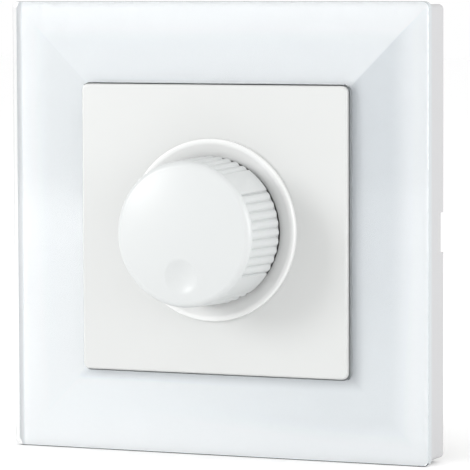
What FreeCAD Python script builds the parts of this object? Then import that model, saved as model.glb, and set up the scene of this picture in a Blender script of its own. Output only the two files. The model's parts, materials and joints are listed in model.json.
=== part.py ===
import FreeCAD, Part
import math
import os
from FreeCAD import Vector

# Rotary dimmer switch for a round flush wall box, in millimetres.
# X points right, Z up and Y into the wall. The wall plane is y = 0 and the knob's axis is x = z = 0.

# Clearances between pieces
running_gap = 0.05
slip_gap = 0.15
seat_gap = 0.05
pin_gap = 0.02
part_gap = 0.5

# How far a cutting tool runs past a face, and how far a joined piece is let in
cut_spare = 1.0
let_in = 0.3
level_tolerance = 1e-4

# Flat steps of the large quarter rounds, and sides of the small rounds
shoulder_steps = 3
collar_rim_steps = 2
small_sides = 12
choke_sides = 24

# Front frame: clear glass with four facets that rise to the window
window_side = 55.0
frame_border = 15.5
frame_depth = 9.4
glass_edge_thickness = 1.8
facet_rise = 0.4
facet_margin = 0.4
glass_corner_radius = 1.3
glass_edge_round = 1.0
window_corner_radius = 1.5
window_arris = 0.25

# Moulded carrier behind the glass
carrier_inset = 0.63
carrier_corner_radius = 1.0
carrier_wall = 1.8
carrier_face = 1.8
carrier_inner_corner = 0.4
shelf_width = 2.0
shelf_thickness = 1.4
shelf_corner_radius = 0.8
carrier_rib = 1.2
carrier_rib_spread = 17.0
pry_notch_width = 7.4
pry_notch_depth = 1.35

# Cover plate in the window
plate_gap = 0.17
plate_proud = 0.9
plate_depth = 5.1
plate_face = 1.6
plate_wall = 1.4
plate_corner_radius = 1.2
plate_inner_corner = 0.6
plate_edge_chamfer = 0.35

# Snap legs of the cover plate
leg_width = 6.0
leg_thickness = 1.2
leg_spread = 12.0
leg_clearance = 0.3
leg_play = 1.0
hook_reach = 0.8
hook_length = 1.8
hook_land = 0.4
hook_catch = 0.55

# Dished collar round the knob
collar_width = 3.5
collar_clear = 0.25
collar_proud = 1.0
collar_rim = 0.9
collar_rim_round = 0.4
collar_dish = 1.3
collar_wall = 1.45
collar_snap = 0.45
collar_snap_height = 0.5

# Knob
knob_base_radius = 14.0
knob_taper = 0.4
knob_shoulder_width = 1.3
knob_height = 14.8
knob_sunk = 0.1
knob_rib_height = 12.2
knob_crown = 1.2
knob_wall = 1.8
knob_roof = 2.8
knob_lip = 0.05
rib_depth = 0.45
rib_clear = 0.1
neck_inset = 0.05
rib_pitch = 7.5
rib_flank = 1.2
ribs_per_group = 9
rib_groups = 4
dimple_offset = 7.8
dimple_diameter = 6.5
dimple_depth = 0.75
dimple_edge_round = 0.5
hub_radius = 4.8
hub_web = 1.2
hub_webs = 4
hub_clear = 0.8
hub_web_clear = 1.5

# Shaft, its bushing and the nut
shaft_radius = 3.0
shaft_flat = 1.5
shaft_tip_gap = 0.4
shaft_shoulder = 0.5
shaft_shoulder_radius = 3.7
drive_radius = 2.0
drive_across_flats = 3.2
press_travel = 0.9
bushing_radius = 4.5
bushing_spare = 1.6
bushing_flange = 0.8
bushing_flange_inset = 0.2
bushing_chamfer = 0.4
nut_across_flats = 12.0
nut_height = 2.4
nut_bevel = 0.6
nut_bevel_inset = 0.2
washer_thickness = 0.6
washer_radius = 6.6
washer_teeth = 12
washer_tooth_gap = 0.9
washer_tooth_depth = 1.0
clip_thickness = 0.35
clip_width = 3.6
clip_length = 7.0
clip_inset = 0.2

# Steel mounting yoke
yoke_thickness = 1.0
yoke_corner_radius = 5.0
yoke_rim_height = 2.0
yoke_rim_length = 50.0
box_screw_spacing = 60.0
box_slot_length = 7.0
box_slot_width = 3.8
box_slot_edge = 1.75
leg_window_play = 0.4

# Mechanism housing and its lid
housing_wall = 1.6
housing_corner_radius = 4.0
housing_back_chamfer = 0.8
lid_thickness = 1.8
lid_rim = 1.0
lid_rim_wall = 1.0
boss_radius = 2.4
boss_pilot = 1.0
boss_inset = 3.5
boss_clear = 1.0
cover_screw_radius = 1.25
cover_screw_head = 2.3
cover_screw_head_height = 1.4
cover_screw_head_chamfer = 0.5
cover_screw_length = 12.0
cover_screw_spare = 0.5
cross_width = 0.6
cross_length = 2.8
cross_depth = 0.8

# Potentiometer behind the lid
pot_radius = 8.5
pot_can_wall = 0.5
pot_length = 6.2
wafer_thickness = 1.4
wafer_tail = 2.2
wafer_tail_margin = 1.0
wafer_margin = 1.2
wafer_hole_clear = 0.6
rotor_clear = 0.8
rotor_wall = 1.2
rotor_core = 2.6
travel_degrees = 300.0
stop_lug_degrees = 29.0
stop_lug_gap = 0.1
wiper_start_degrees = 240.0
wiper_thickness = 0.3
wiper_width = 1.6
wiper_ring_wall = 1.4
wiper_inset = 0.4
pin_width = 1.0
pin_thickness = 0.6
pin_pitch = 5.0
pin_stand = 0.4

# Push switch behind the shaft
switch_gap = 1.2
switch_side = 12.6
switch_height = 7.6
switch_wall = 1.0
switch_corner_radius = 0.6
plunger_radius = 2.0
plunger_flange = 3.2
plunger_flange_height = 1.0
plunger_spare = 0.7
spring_radius = 2.6
spring_wire = 0.4
spring_turns = 5
spring_stations = 12

# Circuit board
board_thickness = 1.6
board_gap = 0.3
board_stop = 2.0
board_stop_height = 3.0
board_notch_gap = 0.6

# Toroidal choke
choke_bore = 3.2
choke_radius = 6.0
choke_height = 5.4
choke_gap = 1.2
choke_edge_chamfer = 0.5
choke_turns = 15
choke_arc_degrees = 330.0
choke_wire = 0.7

# Film capacitors above and below the shaft
capacitor_width = 13.0
capacitor_thickness = 5.0
capacitor_height = 10.2
capacitor_gap = 1.2
capacitor_edge_chamfer = 0.4

# Triac on its heat sink
sink_thickness = 1.3
sink_width = 22.0
triac_width = 10.0
triac_tab = 1.25
triac_body = 4.4
triac_tab_length = 4.4
triac_body_length = 8.2
triac_lead = 0.7
triac_lead_pitch = 2.54
triac_lead_depth = 1.6
triac_lead_length = 2.8
sink_screw_radius = 1.5
sink_screw_head = 2.1
sink_screw_head_height = 1.6

# Fuse and resistors
fuse_radius = 3.9
fuse_height = 8.0
fuse_edge_chamfer = 0.4
fuse_stand = 0.6
fuse_lead_pitch = 5.0
lead_radius = 0.3
resistor_radius = 1.2
resistor_length = 6.4
resistor_span = 8.4
resistor_pitch = 3.3
resistor_count = 3

# Terminals
terminal_pitch = 8.0
terminal_count = 3
terminal_depth = 6.8
terminal_wall = 0.9
terminal_height = 9.0
pillar_width = 5.6
pillar_height = 6.6
wire_bore_radius = 1.7
wire_entry_radius = 1.8
wire_mouth_radius = 2.1
terminal_screw_radius = 1.5
terminal_head_radius = 2.5
terminal_head_height = 1.6
terminal_head_sunk = 0.2
driver_slot = 0.6
driver_slot_depth = 0.8

# Levels along Y in front of the wall
y_wall = 0.0
y_glass_edge = y_wall - frame_depth
y_glass_back = y_glass_edge + glass_edge_thickness
y_window = y_glass_edge - facet_rise
y_face_back = y_glass_back + carrier_face
y_plate = y_window - plate_proud
y_plate_back = y_plate + plate_face
y_shelf = y_plate + plate_depth
y_shelf_back = y_shelf + shelf_thickness
y_collar = y_plate - collar_proud
y_knob_base = y_plate + knob_sunk
y_knob_top = y_plate - knob_height
y_rib_end = y_plate - knob_rib_height
y_face_edge = y_knob_top + knob_crown
y_knob_roof = y_knob_top + knob_roof + knob_crown
y_hub = y_knob_base - hub_clear
y_yoke = y_wall - yoke_thickness
y_nut_seat = y_yoke - washer_thickness
y_nut_front = y_nut_seat - nut_height
y_bushing_front = y_nut_front - bushing_spare
y_shaft_tip = y_knob_top + knob_roof - let_in

# Levels along Y behind the wall: the mechanism as it is stacked
y_lid_back = y_wall + lid_thickness
y_bushing_back = y_lid_back + bushing_flange
y_pot_back = y_bushing_back + pot_length
y_wafer_back = y_pot_back + wafer_thickness
y_switch = y_wafer_back + switch_gap
y_board = y_switch + switch_height
y_board_back = y_board + board_thickness
y_rear_inside = y_board_back + terminal_depth
y_rear = y_rear_inside + housing_wall
y_shoulder_back = y_bushing_back + seat_gap + shaft_shoulder
y_rotor = y_shoulder_back + press_travel + slip_gap
y_rotor_end = y_pot_back - wiper_thickness - seat_gap
y_shaft_rear = y_switch - press_travel - plunger_spare
y_terminal_front = y_board_back + seat_gap
y_terminal_back = y_rear_inside - seat_gap
y_terminal = (y_terminal_front + y_terminal_back) / 2

# Sizes and places across, worked out from the sizes above
frame_side = window_side + 2 * frame_border
plate_side = window_side - 2 * plate_gap
carrier_side = frame_side - 2 * carrier_inset
carrier_inside = carrier_side - 2 * carrier_wall
shelf_opening = window_side - 2 * shelf_width
knob_neck_radius = knob_base_radius - rib_depth - neck_inset
collar_bore = knob_neck_radius + collar_clear
collar_spigot = collar_bore + collar_wall
collar_radius = collar_bore + collar_width
dish_outer = collar_radius - collar_rim
dish_at_ribs = collar_dish * (dish_outer - knob_base_radius) / (dish_outer - collar_bore)
y_rib_start = y_collar + dish_at_ribs - press_travel - rib_clear
knob_front_radius = knob_base_radius - knob_taper
knob_cap_radius = knob_front_radius + knob_lip
knob_face_radius = knob_front_radius - knob_shoulder_width
leg_outer = shelf_opening / 2 - leg_clearance
leg_inner = leg_outer - leg_thickness
yoke_side = box_screw_spacing + box_slot_length + 2 * box_slot_edge
inner_width = switch_side + 2 * (choke_gap + 2 * (choke_radius + choke_wire) + board_gap)
inner_height = 2 * (pot_radius + wafer_tail + capacitor_gap + capacitor_thickness + part_gap)
housing_width = inner_width + 2 * housing_wall
housing_height = inner_height + 2 * housing_wall
boss_x = housing_width / 2 - boss_inset
boss_z = housing_height / 2 - boss_inset
pot_inside = pot_radius - pot_can_wall
rotor_radius = pot_inside - rotor_clear
pin_z = -pot_radius - wafer_tail + wafer_margin
choke_x = board_gap + choke_radius + choke_wire - inner_width / 2
capacitor_z = inner_height / 2 - part_gap - capacitor_thickness / 2
sink_x = inner_width / 2 - board_gap - sink_thickness
triac_back_x = sink_x - seat_gap
lead_x = triac_back_x - triac_body + triac_lead_depth
triac_case_front = y_board - triac_lead_length - triac_body_length
sink_screw_y = triac_case_front - triac_tab_length / 2
fuse_x = boss_x - boss_radius - part_gap - fuse_radius
fuse_z = inner_height / 2 - part_gap - fuse_radius
resistor_x = (capacitor_width / 2 + boss_x - boss_radius) / 2
resistor_first_z = -triac_width / 2 - part_gap - resistor_radius
terminal_z_low = -inner_height / 2 + slip_gap
terminal_z_high = terminal_z_low + terminal_height
wire_z = terminal_z_high - pillar_height / 2 - terminal_wall
well_radius = terminal_head_radius + 2 * slip_gap


# Helpers

def flat_wire(corners, place):
    """Closed wire through (a, b, radius) corners, each rounded by a tangent arc."""
    count = len(corners)
    ends = []
    for i in range(count):
        a, b, radius = corners[i]
        before = corners[i - 1]
        after = corners[(i + 1) % count]
        here = Vector(a, b, 0)
        back = (Vector(before[0], before[1], 0) - here).normalize()
        ahead = (Vector(after[0], after[1], 0) - here).normalize()
        if radius <= 0:
            ends.append((here, None, here))
            continue
        half = back.getAngle(ahead) / 2
        run = radius / math.tan(half)
        middle = (back + ahead).normalize()
        centre = here + middle * (radius / math.sin(half))
        ends.append((here + back * run, centre - middle * radius, here + ahead * run))
    edges = []
    for i in range(count):
        start, bulge, finish = ends[i]
        if bulge is not None:
            edges.append(Part.Arc(place(start), place(bulge), place(finish)).toShape())
        following = ends[(i + 1) % count][0]
        if (following - finish).Length > level_tolerance:
            edges.append(Part.LineSegment(place(finish), place(following)).toShape())
    return Part.Wire(edges)


def facing_wire(corners, y):
    """Outline in the XZ plane at depth y."""
    return flat_wire(corners, lambda p: Vector(p.x, y, p.y))


def slab(corners, y_from, y_to):
    """Outline in the XZ plane, thick along Y."""
    return Part.Face(facing_wire(corners, y_from)).extrude(Vector(0, y_to - y_from, 0))


def rectangle(width, height, radius=0.0, x=0.0, z=0.0):
    """Corners of a rectangle centred on x, z."""
    w = width / 2
    h = height / 2
    return [(x + w, z - h, radius), (x + w, z + h, radius), (x - w, z + h, radius), (x - w, z - h, radius)]


def square(side, radius=0.0):
    return rectangle(side, side, radius)


def turned(profile):
    """Solid of revolution about Y from (radius, y, rounding) corners."""
    wire = flat_wire(profile, lambda p: Vector(p.x, p.y, 0))
    return Part.Face(wire).revolve(Vector(0, 0, 0), Vector(0, 1, 0), 360)


def quarter_round(radius, y, width, rise, steps):
    """Corners of a quarter round from its outer wall in to its face, for a turned profile."""
    angles = [math.pi / 2 * k / steps for k in range(steps + 1)]
    return [(radius + width * math.cos(angle), y - rise * math.sin(angle), 0) for angle in angles]


def tube(inner, outer, y_from, y_to):
    """Round tube about the Y axis."""
    return turned([(outer, y_from, 0), (outer, y_to, 0), (inner, y_to, 0), (inner, y_from, 0)])


def rod(radius, y_from, y_to, x=0.0, z=0.0):
    """Cylinder along Y."""
    return Part.makeCylinder(radius, y_to - y_from, Vector(x, y_from, z), Vector(0, 1, 0))


def few_sided(radius, x, z, sides):
    """Corners of a small round that is drawn with few faces."""
    turns = [2 * math.pi * (k + 0.5) / sides for k in range(sides)]
    return [(x + radius * math.cos(turn), z + radius * math.sin(turn), 0) for turn in turns]


def small_rod(radius, y_from, y_to, x=0.0, z=0.0, sides=small_sides):
    """Small rod along Y whose corners lie on its radius."""
    return slab(few_sided(radius, x, z, sides), y_from, y_to)


def small_hole(radius, y_from, y_to, x=0.0, z=0.0, sides=small_sides):
    """Small hole along Y whose flats lie on its radius."""
    return small_rod(radius / math.cos(math.pi / sides), y_from, y_to, x, z, sides)


def block(x0, x1, y0, y1, z0, z1):
    """Box between two corners."""
    return Part.makeBox(x1 - x0, y1 - y0, z1 - z0, Vector(x0, y0, z0))


def slot_shape(width, height, y_from, y_to, x, z):
    """Round-ended slot centred on x, z."""
    radius = min(width, height) / 2
    reach_x = width / 2 - radius
    reach_z = height / 2 - radius
    ends = [rod(radius, y_from, y_to, x + side * reach_x, z + side * reach_z) for side in (1, -1)]
    half_x = reach_x if reach_x > 0 else radius
    half_z = reach_z if reach_z > 0 else radius
    return fused(block(x - half_x, x + half_x, y_from, y_to, z - half_z, z + half_z), ends)


def edges_at(shape, test):
    """Edges whose every vertex passes the test."""
    return [edge for edge in shape.Edges if all(test(v.Point) for v in edge.Vertexes)]


def edges_on_level(shape, y):
    return edges_at(shape, lambda p: abs(p.y - y) < level_tolerance)


def d_rod(radius, flat, y_from, y_to):
    """Rod with a flat on its +X side."""
    away = block(flat, radius + cut_spare, y_from - cut_spare, y_to + cut_spare,
                 -radius - cut_spare, radius + cut_spare)
    return rod(radius, y_from, y_to).cut(away)


def two_flat_rod(radius, across, y_from, y_to):
    """Rod with two opposite flats."""
    band = block(-across / 2, across / 2, y_from - cut_spare, y_to + cut_spare,
                 -radius - cut_spare, radius + cut_spare)
    return rod(radius, y_from, y_to).common(band)


def fused(first, others):
    """Union with the seams between flush faces removed."""
    return first.fuse(others).removeSplitter()


def six_sided(centre, radius, first, second):
    """Closed outline of a thin wire's section, square to first and second."""
    angles = [k * math.pi / 3 for k in range(6)]
    corners = [centre + first * (radius * math.cos(a)) + second * (radius * math.sin(a)) for a in angles]
    return Part.makePolygon(corners + corners[:1])


def about_axis(shape, degrees):
    """The shape turned about Y from +X towards +Z."""
    shape.rotate(Vector(0, 0, 0), Vector(0, 1, 0), -degrees)
    return shape


def mirrored(sign, near, far):
    """Low and high end of a stretch on the given side of the axis."""
    return sorted((sign * near, sign * far))


def corner_places(x, z):
    """The four mirrored places of x, z."""
    return [(sx * x, sz * z) for sx in (1, -1) for sz in (1, -1)]


# Glass frame

def hipped_block(foot, top, y_foot, y_top):
    """Flat-sided block on a square foot, narrowing to a smaller square."""
    slope = [(-foot / 2, y_foot, 0), (foot / 2, y_foot, 0), (top / 2, y_top, 0), (-top / 2, y_top, 0)]
    along_z = Part.Face(flat_wire(slope, lambda p: Vector(p.x, p.y, -foot / 2))).extrude(Vector(0, 0, foot))
    along_x = Part.Face(flat_wire(slope, lambda p: Vector(-foot / 2, p.y, p.x))).extrude(Vector(foot, 0, 0))
    return along_z.common(along_x)


def glass_frame():
    window = square(window_side, window_corner_radius)
    sheet = slab(square(frame_side, glass_corner_radius), y_glass_edge, y_glass_back)
    sheet = sheet.makeFillet(glass_edge_round, edges_on_level(sheet, y_glass_edge))
    facet_foot = frame_side - 2 * (glass_edge_round + facet_margin)
    body = fused(sheet, [hipped_block(facet_foot, window_side, y_glass_edge, y_window)])
    wide = square(window_side + 2 * window_arris, window_corner_radius + window_arris)
    y_arris = y_window + window_arris
    arris = Part.makeLoft([facing_wire(wide, y_window), facing_wire(window, y_arris)], True, True)
    return body.cut(slab(window, y_window - cut_spare, y_glass_back + cut_spare)).cut(arris)


# Carrier that holds the glass and closes the sides down to the wall

def carrier_ribs():
    """Stiffening ribs between the window wall and the side walls."""
    ribs = []
    start = window_side / 2 + carrier_wall / 2
    end = carrier_inside / 2 + carrier_wall / 2
    for place in (-carrier_rib_spread, 0.0, carrier_rib_spread):
        low = place - carrier_rib / 2
        high = place + carrier_rib / 2
        for sign in (1, -1):
            near, far = mirrored(sign, start, end)
            ribs.append(block(near, far, y_face_back - let_in, y_shelf_back, low, high))
            ribs.append(block(low, high, y_face_back - let_in, y_shelf_back, near, far))
    return ribs


def frame_carrier():
    outer = slab(square(carrier_side, carrier_corner_radius), y_glass_back, y_wall)
    hollow = slab(square(carrier_inside, carrier_inner_corner), y_face_back, y_wall + cut_spare)
    window_wall = slab(square(window_side + 2 * carrier_wall, window_corner_radius + carrier_wall),
                       y_face_back - let_in, y_shelf_back)
    body = fused(outer.cut(hollow), [window_wall] + carrier_ribs())
    body = body.cut(slab(square(window_side, window_corner_radius), y_glass_back - cut_spare, y_shelf))
    opening = square(shelf_opening, shelf_corner_radius)
    body = body.cut(slab(opening, y_glass_back - cut_spare, y_wall + cut_spare))
    for sign in (1, -1):
        near, far = mirrored(sign, carrier_inside / 2 - carrier_wall, carrier_side / 2 + cut_spare)
        body = body.cut(block(near, far, y_wall - pry_notch_depth, y_wall + cut_spare,
                              -pry_notch_width / 2, pry_notch_width / 2))
    return body


# Cover plate with its side walls and four snap legs

def snap_leg(sx, sz):
    """Leg above or below that reaches through the yoke and hooks behind it."""
    y_root = y_plate_back - let_in
    y_hook = y_wall + seat_gap
    y_end = y_hook + hook_length
    profile = [
        (leg_outer, y_root, 0), (leg_outer, y_hook, 0), (leg_outer + hook_reach, y_hook, 0),
        (leg_outer + hook_reach, y_hook + hook_land, 0), (leg_outer, y_end, 0),
        (leg_inner, y_end, 0), (leg_inner, y_root, 0)]
    x_low = sx * leg_spread - leg_width / 2
    wire = flat_wire(profile, lambda p: Vector(x_low, p.y, sz * p.x))
    return Part.Face(wire).extrude(Vector(leg_width, 0, 0))


def cover_plate():
    body = slab(square(plate_side, plate_corner_radius), y_plate, y_shelf)
    body = body.makeChamfer(plate_edge_chamfer, edges_on_level(body, y_plate))
    inside = slab(square(plate_side - 2 * plate_wall, plate_inner_corner), y_plate_back, y_shelf + cut_spare)
    body = fused(body.cut(inside), [snap_leg(sx, sz) for sx, sz in corner_places(1, 1)])
    return body.cut(rod(collar_spigot + slip_gap, y_plate - cut_spare, y_plate_back + cut_spare))


# Dished collar ring, snapped into the cover plate

def collar_ring():
    y_spigot = y_plate_back + collar_snap_height
    y_snap = y_plate_back + seat_gap
    rim = quarter_round(collar_radius - collar_rim_round, y_collar + collar_rim_round,
                        collar_rim_round, collar_rim_round, collar_rim_steps)
    return turned([(collar_radius, y_plate, 0)] + rim + [
        (dish_outer, y_collar, 0),
        (collar_bore, y_collar + collar_dish, 0),
        (collar_bore, y_spigot, 0),
        (collar_spigot + slip_gap, y_spigot, 0),
        (collar_spigot + collar_snap, y_snap, 0),
        (collar_spigot, y_snap, 0),
        (collar_spigot, y_plate, 0)])


# Knob: fluted wall, rounded shoulder, domed face with a finger dimple

def rib_outline(tip_radius, y):
    """Closed outline of rounded ribs in groups, with a smooth panel between the groups."""
    root_radius = tip_radius - rib_depth
    group_angle = 360.0 / rib_groups
    rib_span = ribs_per_group * rib_pitch

    def at(radius, angle):
        a = math.radians(angle)
        return Vector(radius * math.cos(a), y, radius * math.sin(a))

    edges = []
    for group in range(rib_groups):
        start = group * group_angle - rib_span / 2
        for rib in range(ribs_per_group):
            a0 = start + rib * rib_pitch
            a1 = a0 + rib_pitch
            tip = at(tip_radius, (a0 + a1) / 2)
            edges.append(Part.Arc(at(root_radius, a0), tip, at(root_radius, a1)).toShape())
        p0 = start + rib_span
        p1 = start + group_angle
        edges.append(Part.LineSegment(at(root_radius, p0), at(tip_radius, p0 + rib_flank)).toShape())
        edges.append(Part.Arc(at(tip_radius, p0 + rib_flank), at(tip_radius, (p0 + p1) / 2),
                              at(tip_radius, p1 - rib_flank)).toShape())
        edges.append(Part.LineSegment(at(tip_radius, p1 - rib_flank), at(root_radius, p1)).toShape())
    return Part.Wire(edges)


def dome_radius():
    """Radius of the ball whose cap is the knob's face."""
    return (knob_face_radius ** 2 + knob_crown ** 2) / (2 * knob_crown)


def dome_height(radius):
    """Level of the domed face at a distance from the axis."""
    return y_knob_top + dome_radius() - math.sqrt(dome_radius() ** 2 - radius ** 2)


def knob_cap():
    """Rounded shoulder proud of the ribs, with the dome on it."""
    y_low = y_rib_end + knob_lip
    width = knob_cap_radius - knob_face_radius
    shoulder = quarter_round(knob_face_radius, y_rib_end, width, y_rib_end - y_face_edge, shoulder_steps)
    ring = turned([(0, y_low, 0), (knob_cap_radius, y_low, 0)] + shoulder + [(0, y_face_edge, 0)])
    ball = Part.makeSphere(dome_radius(), Vector(0, y_knob_top + dome_radius(), 0))
    return fused(ring, [rod(knob_face_radius, y_knob_top - cut_spare, y_rib_end).common(ball)])


def with_dimple(body):
    """The finger dimple, a shallow bowl square to the dome, with a soft edge."""
    ball = (dimple_diameter ** 2 / 4 + dimple_depth ** 2) / (2 * dimple_depth)
    tilt = math.asin(dimple_offset / dome_radius())
    lift = ball - dimple_depth
    centre = Vector(0, dome_height(dimple_offset) - lift * math.cos(tilt),
                    -dimple_offset - lift * math.sin(tilt))
    body = body.cut(Part.makeSphere(ball, centre))
    for face in body.Faces:
        if isinstance(face.Surface, Part.Sphere) and abs(face.Surface.Radius - ball) < level_tolerance:
            return body.makeFillet(dimple_edge_round, face.OuterWire.Edges)


def knob():
    fluted = Part.makeLoft([rib_outline(knob_base_radius, y_rib_start),
                            rib_outline(knob_front_radius, y_rib_end)], True, True)
    body = with_dimple(fluted.fuse(knob_cap()))
    body = fused(body, [rod(knob_neck_radius, y_rib_start - let_in, y_knob_base)])
    inner_front = knob_front_radius - knob_wall
    inner_base = knob_base_radius - knob_wall
    body = body.cut(turned([
        (0, y_knob_base + cut_spare, 0), (inner_base, y_knob_base + cut_spare, 0),
        (inner_front, y_rib_end, 0), (knob_face_radius - knob_wall, y_knob_roof, 0), (0, y_knob_roof, 0)]))
    inserts = [rod(hub_radius, y_knob_roof - let_in, y_hub)]
    for web in range(hub_webs):
        arm = block(hub_radius - let_in, inner_front + let_in, y_knob_roof - let_in, y_hub - hub_web_clear,
                    -hub_web / 2, hub_web / 2)
        inserts.append(about_axis(arm, (web + 0.5) * 360.0 / hub_webs))
    body = fused(body, inserts)
    socket = d_rod(shaft_radius + running_gap, shaft_flat + clip_thickness + 2 * running_gap,
                   y_shaft_tip - shaft_tip_gap, y_hub + cut_spare)
    return body.cut(socket)


# Spring clip between the shaft's flat and the knob's hub

def knob_spring_clip():
    x = shaft_flat + running_gap
    y_end = y_hub - clip_inset
    return block(x, x + clip_thickness, y_end - clip_length, y_end, -clip_width / 2, clip_width / 2)


# Control shaft

def control_shaft():
    y_flat_end = y_hub + seat_gap
    y_shoulder = y_bushing_back + seat_gap
    front = d_rod(shaft_radius, shaft_flat, y_shaft_tip, y_flat_end)
    middle = rod(shaft_radius, y_flat_end, y_shoulder)
    shoulder = rod(shaft_shoulder_radius, y_shoulder, y_shoulder_back)
    drive = two_flat_rod(drive_radius, drive_across_flats, y_shoulder_back, y_shaft_rear)
    return fused(front, [middle, shoulder, drive])


def shaft_bushing():
    bore = shaft_radius + running_gap
    flange = pot_radius - bushing_flange_inset
    body = turned([
        (bore, y_bushing_front, 0), (bushing_radius, y_bushing_front, 0), (bushing_radius, y_lid_back, 0),
        (flange, y_lid_back, 0), (flange, y_bushing_back, 0), (bore, y_bushing_back, 0)])
    outer_rim = [e for e in edges_on_level(body, y_bushing_front) if e.Vertexes[0].Point.x > bore + let_in]
    return body.makeChamfer(bushing_chamfer, outer_rim)


def bushing_nut():
    flat = nut_across_flats / 2
    across = flat / math.cos(math.radians(30))
    corners = [(across * math.cos(math.radians(60 * k)), across * math.sin(math.radians(60 * k)), 0)
               for k in range(6)]
    crown = turned([(0, y_nut_seat, 0), (across, y_nut_seat, 0), (across, y_nut_front + nut_bevel, 0),
                    (flat - nut_bevel_inset, y_nut_front, 0), (0, y_nut_front, 0)])
    body = slab(corners, y_nut_front, y_nut_seat).common(crown)
    return body.cut(rod(bushing_radius + running_gap, y_nut_front - cut_spare, y_nut_seat + cut_spare))


def toothed_washer():
    body = rod(washer_radius, y_nut_seat, y_yoke)
    for tooth in range(washer_teeth):
        gap = block(washer_radius - washer_tooth_depth, washer_radius + cut_spare,
                    y_nut_seat - cut_spare, y_yoke + cut_spare, -washer_tooth_gap / 2, washer_tooth_gap / 2)
        body = body.cut(about_axis(gap, tooth * 360.0 / washer_teeth))
    return body.cut(rod(bushing_radius + slip_gap, y_nut_seat - cut_spare, y_yoke + cut_spare))


# Steel yoke with folded rims, screw slots and windows for the plate's legs

def mounting_yoke():
    half = yoke_side / 2
    length = yoke_rim_length / 2
    rims = []
    for sign in (1, -1):
        near, far = mirrored(sign, half - yoke_thickness, half)
        rims.append(block(near, far, y_yoke - yoke_rim_height, y_wall, -length, length))
        rims.append(block(-length, length, y_yoke - yoke_rim_height, y_wall, near, far))
    body = fused(slab(square(yoke_side, yoke_corner_radius), y_yoke, y_wall), rims)
    y0 = y_yoke - cut_spare
    y1 = y_wall + cut_spare
    body = body.cut(rod(bushing_radius + slip_gap, y0, y1))
    place = box_screw_spacing / 2
    for sign in (1, -1):
        body = body.cut(slot_shape(box_slot_length, box_slot_width, y0, y1, sign * place, 0))
        body = body.cut(slot_shape(box_slot_width, box_slot_length, y0, y1, 0, sign * place))
    window_half = leg_width / 2 + leg_window_play
    window_outer = leg_outer + hook_reach - hook_catch
    for sx, sz in corner_places(1, 1):
        near, far = mirrored(sz, leg_inner - leg_play, window_outer)
        x_mid = sx * leg_spread
        body = body.cut(block(x_mid - window_half, x_mid + window_half, y0, y1, near, far))
    for x, z in corner_places(boss_x, boss_z):
        body = body.cut(small_hole(cover_screw_radius + slip_gap, y0, y1, x, z))
    return body


# Lid and housing of the mechanism

def housing_lid():
    body = slab(rectangle(housing_width, housing_height, housing_corner_radius), y_wall, y_lid_back)
    rim_width = inner_width - 2 * slip_gap
    rim_height = inner_height - 2 * slip_gap
    rim_corner = housing_corner_radius - housing_wall
    y_rim = y_lid_back + lid_rim
    rim = slab(rectangle(rim_width, rim_height, rim_corner), y_lid_back - let_in, y_rim)
    rim = rim.cut(slab(rectangle(rim_width - 2 * lid_rim_wall, rim_height - 2 * lid_rim_wall,
                                 rim_corner - lid_rim_wall), y_lid_back - cut_spare, y_rim + cut_spare))
    body = fused(body, [rim])
    y_start = y_wall - cut_spare
    y_end = y_rim + cut_spare
    for x, z in corner_places(boss_x, boss_z):
        body = body.cut(small_hole(boss_radius + slip_gap + boss_clear, y_lid_back, y_end, x, z))
        body = body.cut(small_hole(cover_screw_radius + slip_gap, y_start, y_end, x, z))
    return body.cut(rod(bushing_radius + slip_gap, y_start, y_end))


def terminal_x(index):
    return (index - (terminal_count - 1) / 2) * terminal_pitch


def upright_rod(radius, x, z_from, z_to):
    """Small rod along Z at a terminal's screw."""
    shape = small_rod(radius, 0.0, z_to - z_from)
    shape.rotate(Vector(0, 0, 0), Vector(1, 0, 0), 90)
    shape.translate(Vector(x, y_terminal, z_from))
    return shape


def mechanism_housing():
    body = slab(rectangle(housing_width, housing_height, housing_corner_radius), y_lid_back, y_rear)
    body = body.makeChamfer(housing_back_chamfer, edges_on_level(body, y_rear))
    body = body.cut(slab(rectangle(inner_width, inner_height, housing_corner_radius - housing_wall),
                         y_lid_back - cut_spare, y_rear_inside))
    columns = [small_rod(boss_radius, y_lid_back + seat_gap, y_rear_inside + let_in, x, z)
               for x, z in corner_places(boss_x, boss_z)]
    for sign in (1, -1):
        near, far = mirrored(sign, inner_width / 2 - board_stop, inner_width / 2 + let_in)
        columns.append(block(near, far, y_board_back + seat_gap, y_rear_inside + let_in,
                             -board_stop_height / 2, board_stop_height / 2))
    body = fused(body, columns)
    y_pilot_end = y_yoke + cover_screw_length + cut_spare
    for x, z in corner_places(boss_x, boss_z):
        body = body.cut(small_hole(boss_pilot, y_lid_back - cut_spare, y_pilot_end, x, z))
    for index in range(terminal_count):
        x = terminal_x(index)
        body = body.cut(rod(wire_mouth_radius, y_rear_inside - cut_spare, y_rear + cut_spare, x, wire_z))
        body = body.cut(upright_rod(well_radius, x, -housing_height / 2 - cut_spare, terminal_z_low))
    return body


def cover_screws():
    screws = []
    y_top = y_yoke - cover_screw_head_height
    y_point = y_yoke + cover_screw_length - cover_screw_spare
    half_cross = cross_length / 2
    for x, z in corner_places(boss_x, boss_z):
        shank = small_rod(boss_pilot - pin_gap, y_yoke - let_in, y_point, x, z)
        head = small_rod(cover_screw_head, y_top, y_yoke, x, z)
        head = head.makeChamfer(cover_screw_head_chamfer, edges_on_level(head, y_top))
        screw = fused(head, [shank])
        for degrees in (45, 135):
            bar = block(-half_cross, half_cross, y_top - cut_spare, y_top + cross_depth,
                        -cross_width / 2, cross_width / 2)
            bar = about_axis(bar, degrees)
            bar.translate(Vector(x, 0, z))
            screw = screw.cut(bar)
        screws.append(screw)
    return Part.makeCompound(screws)


# Potentiometer

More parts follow.
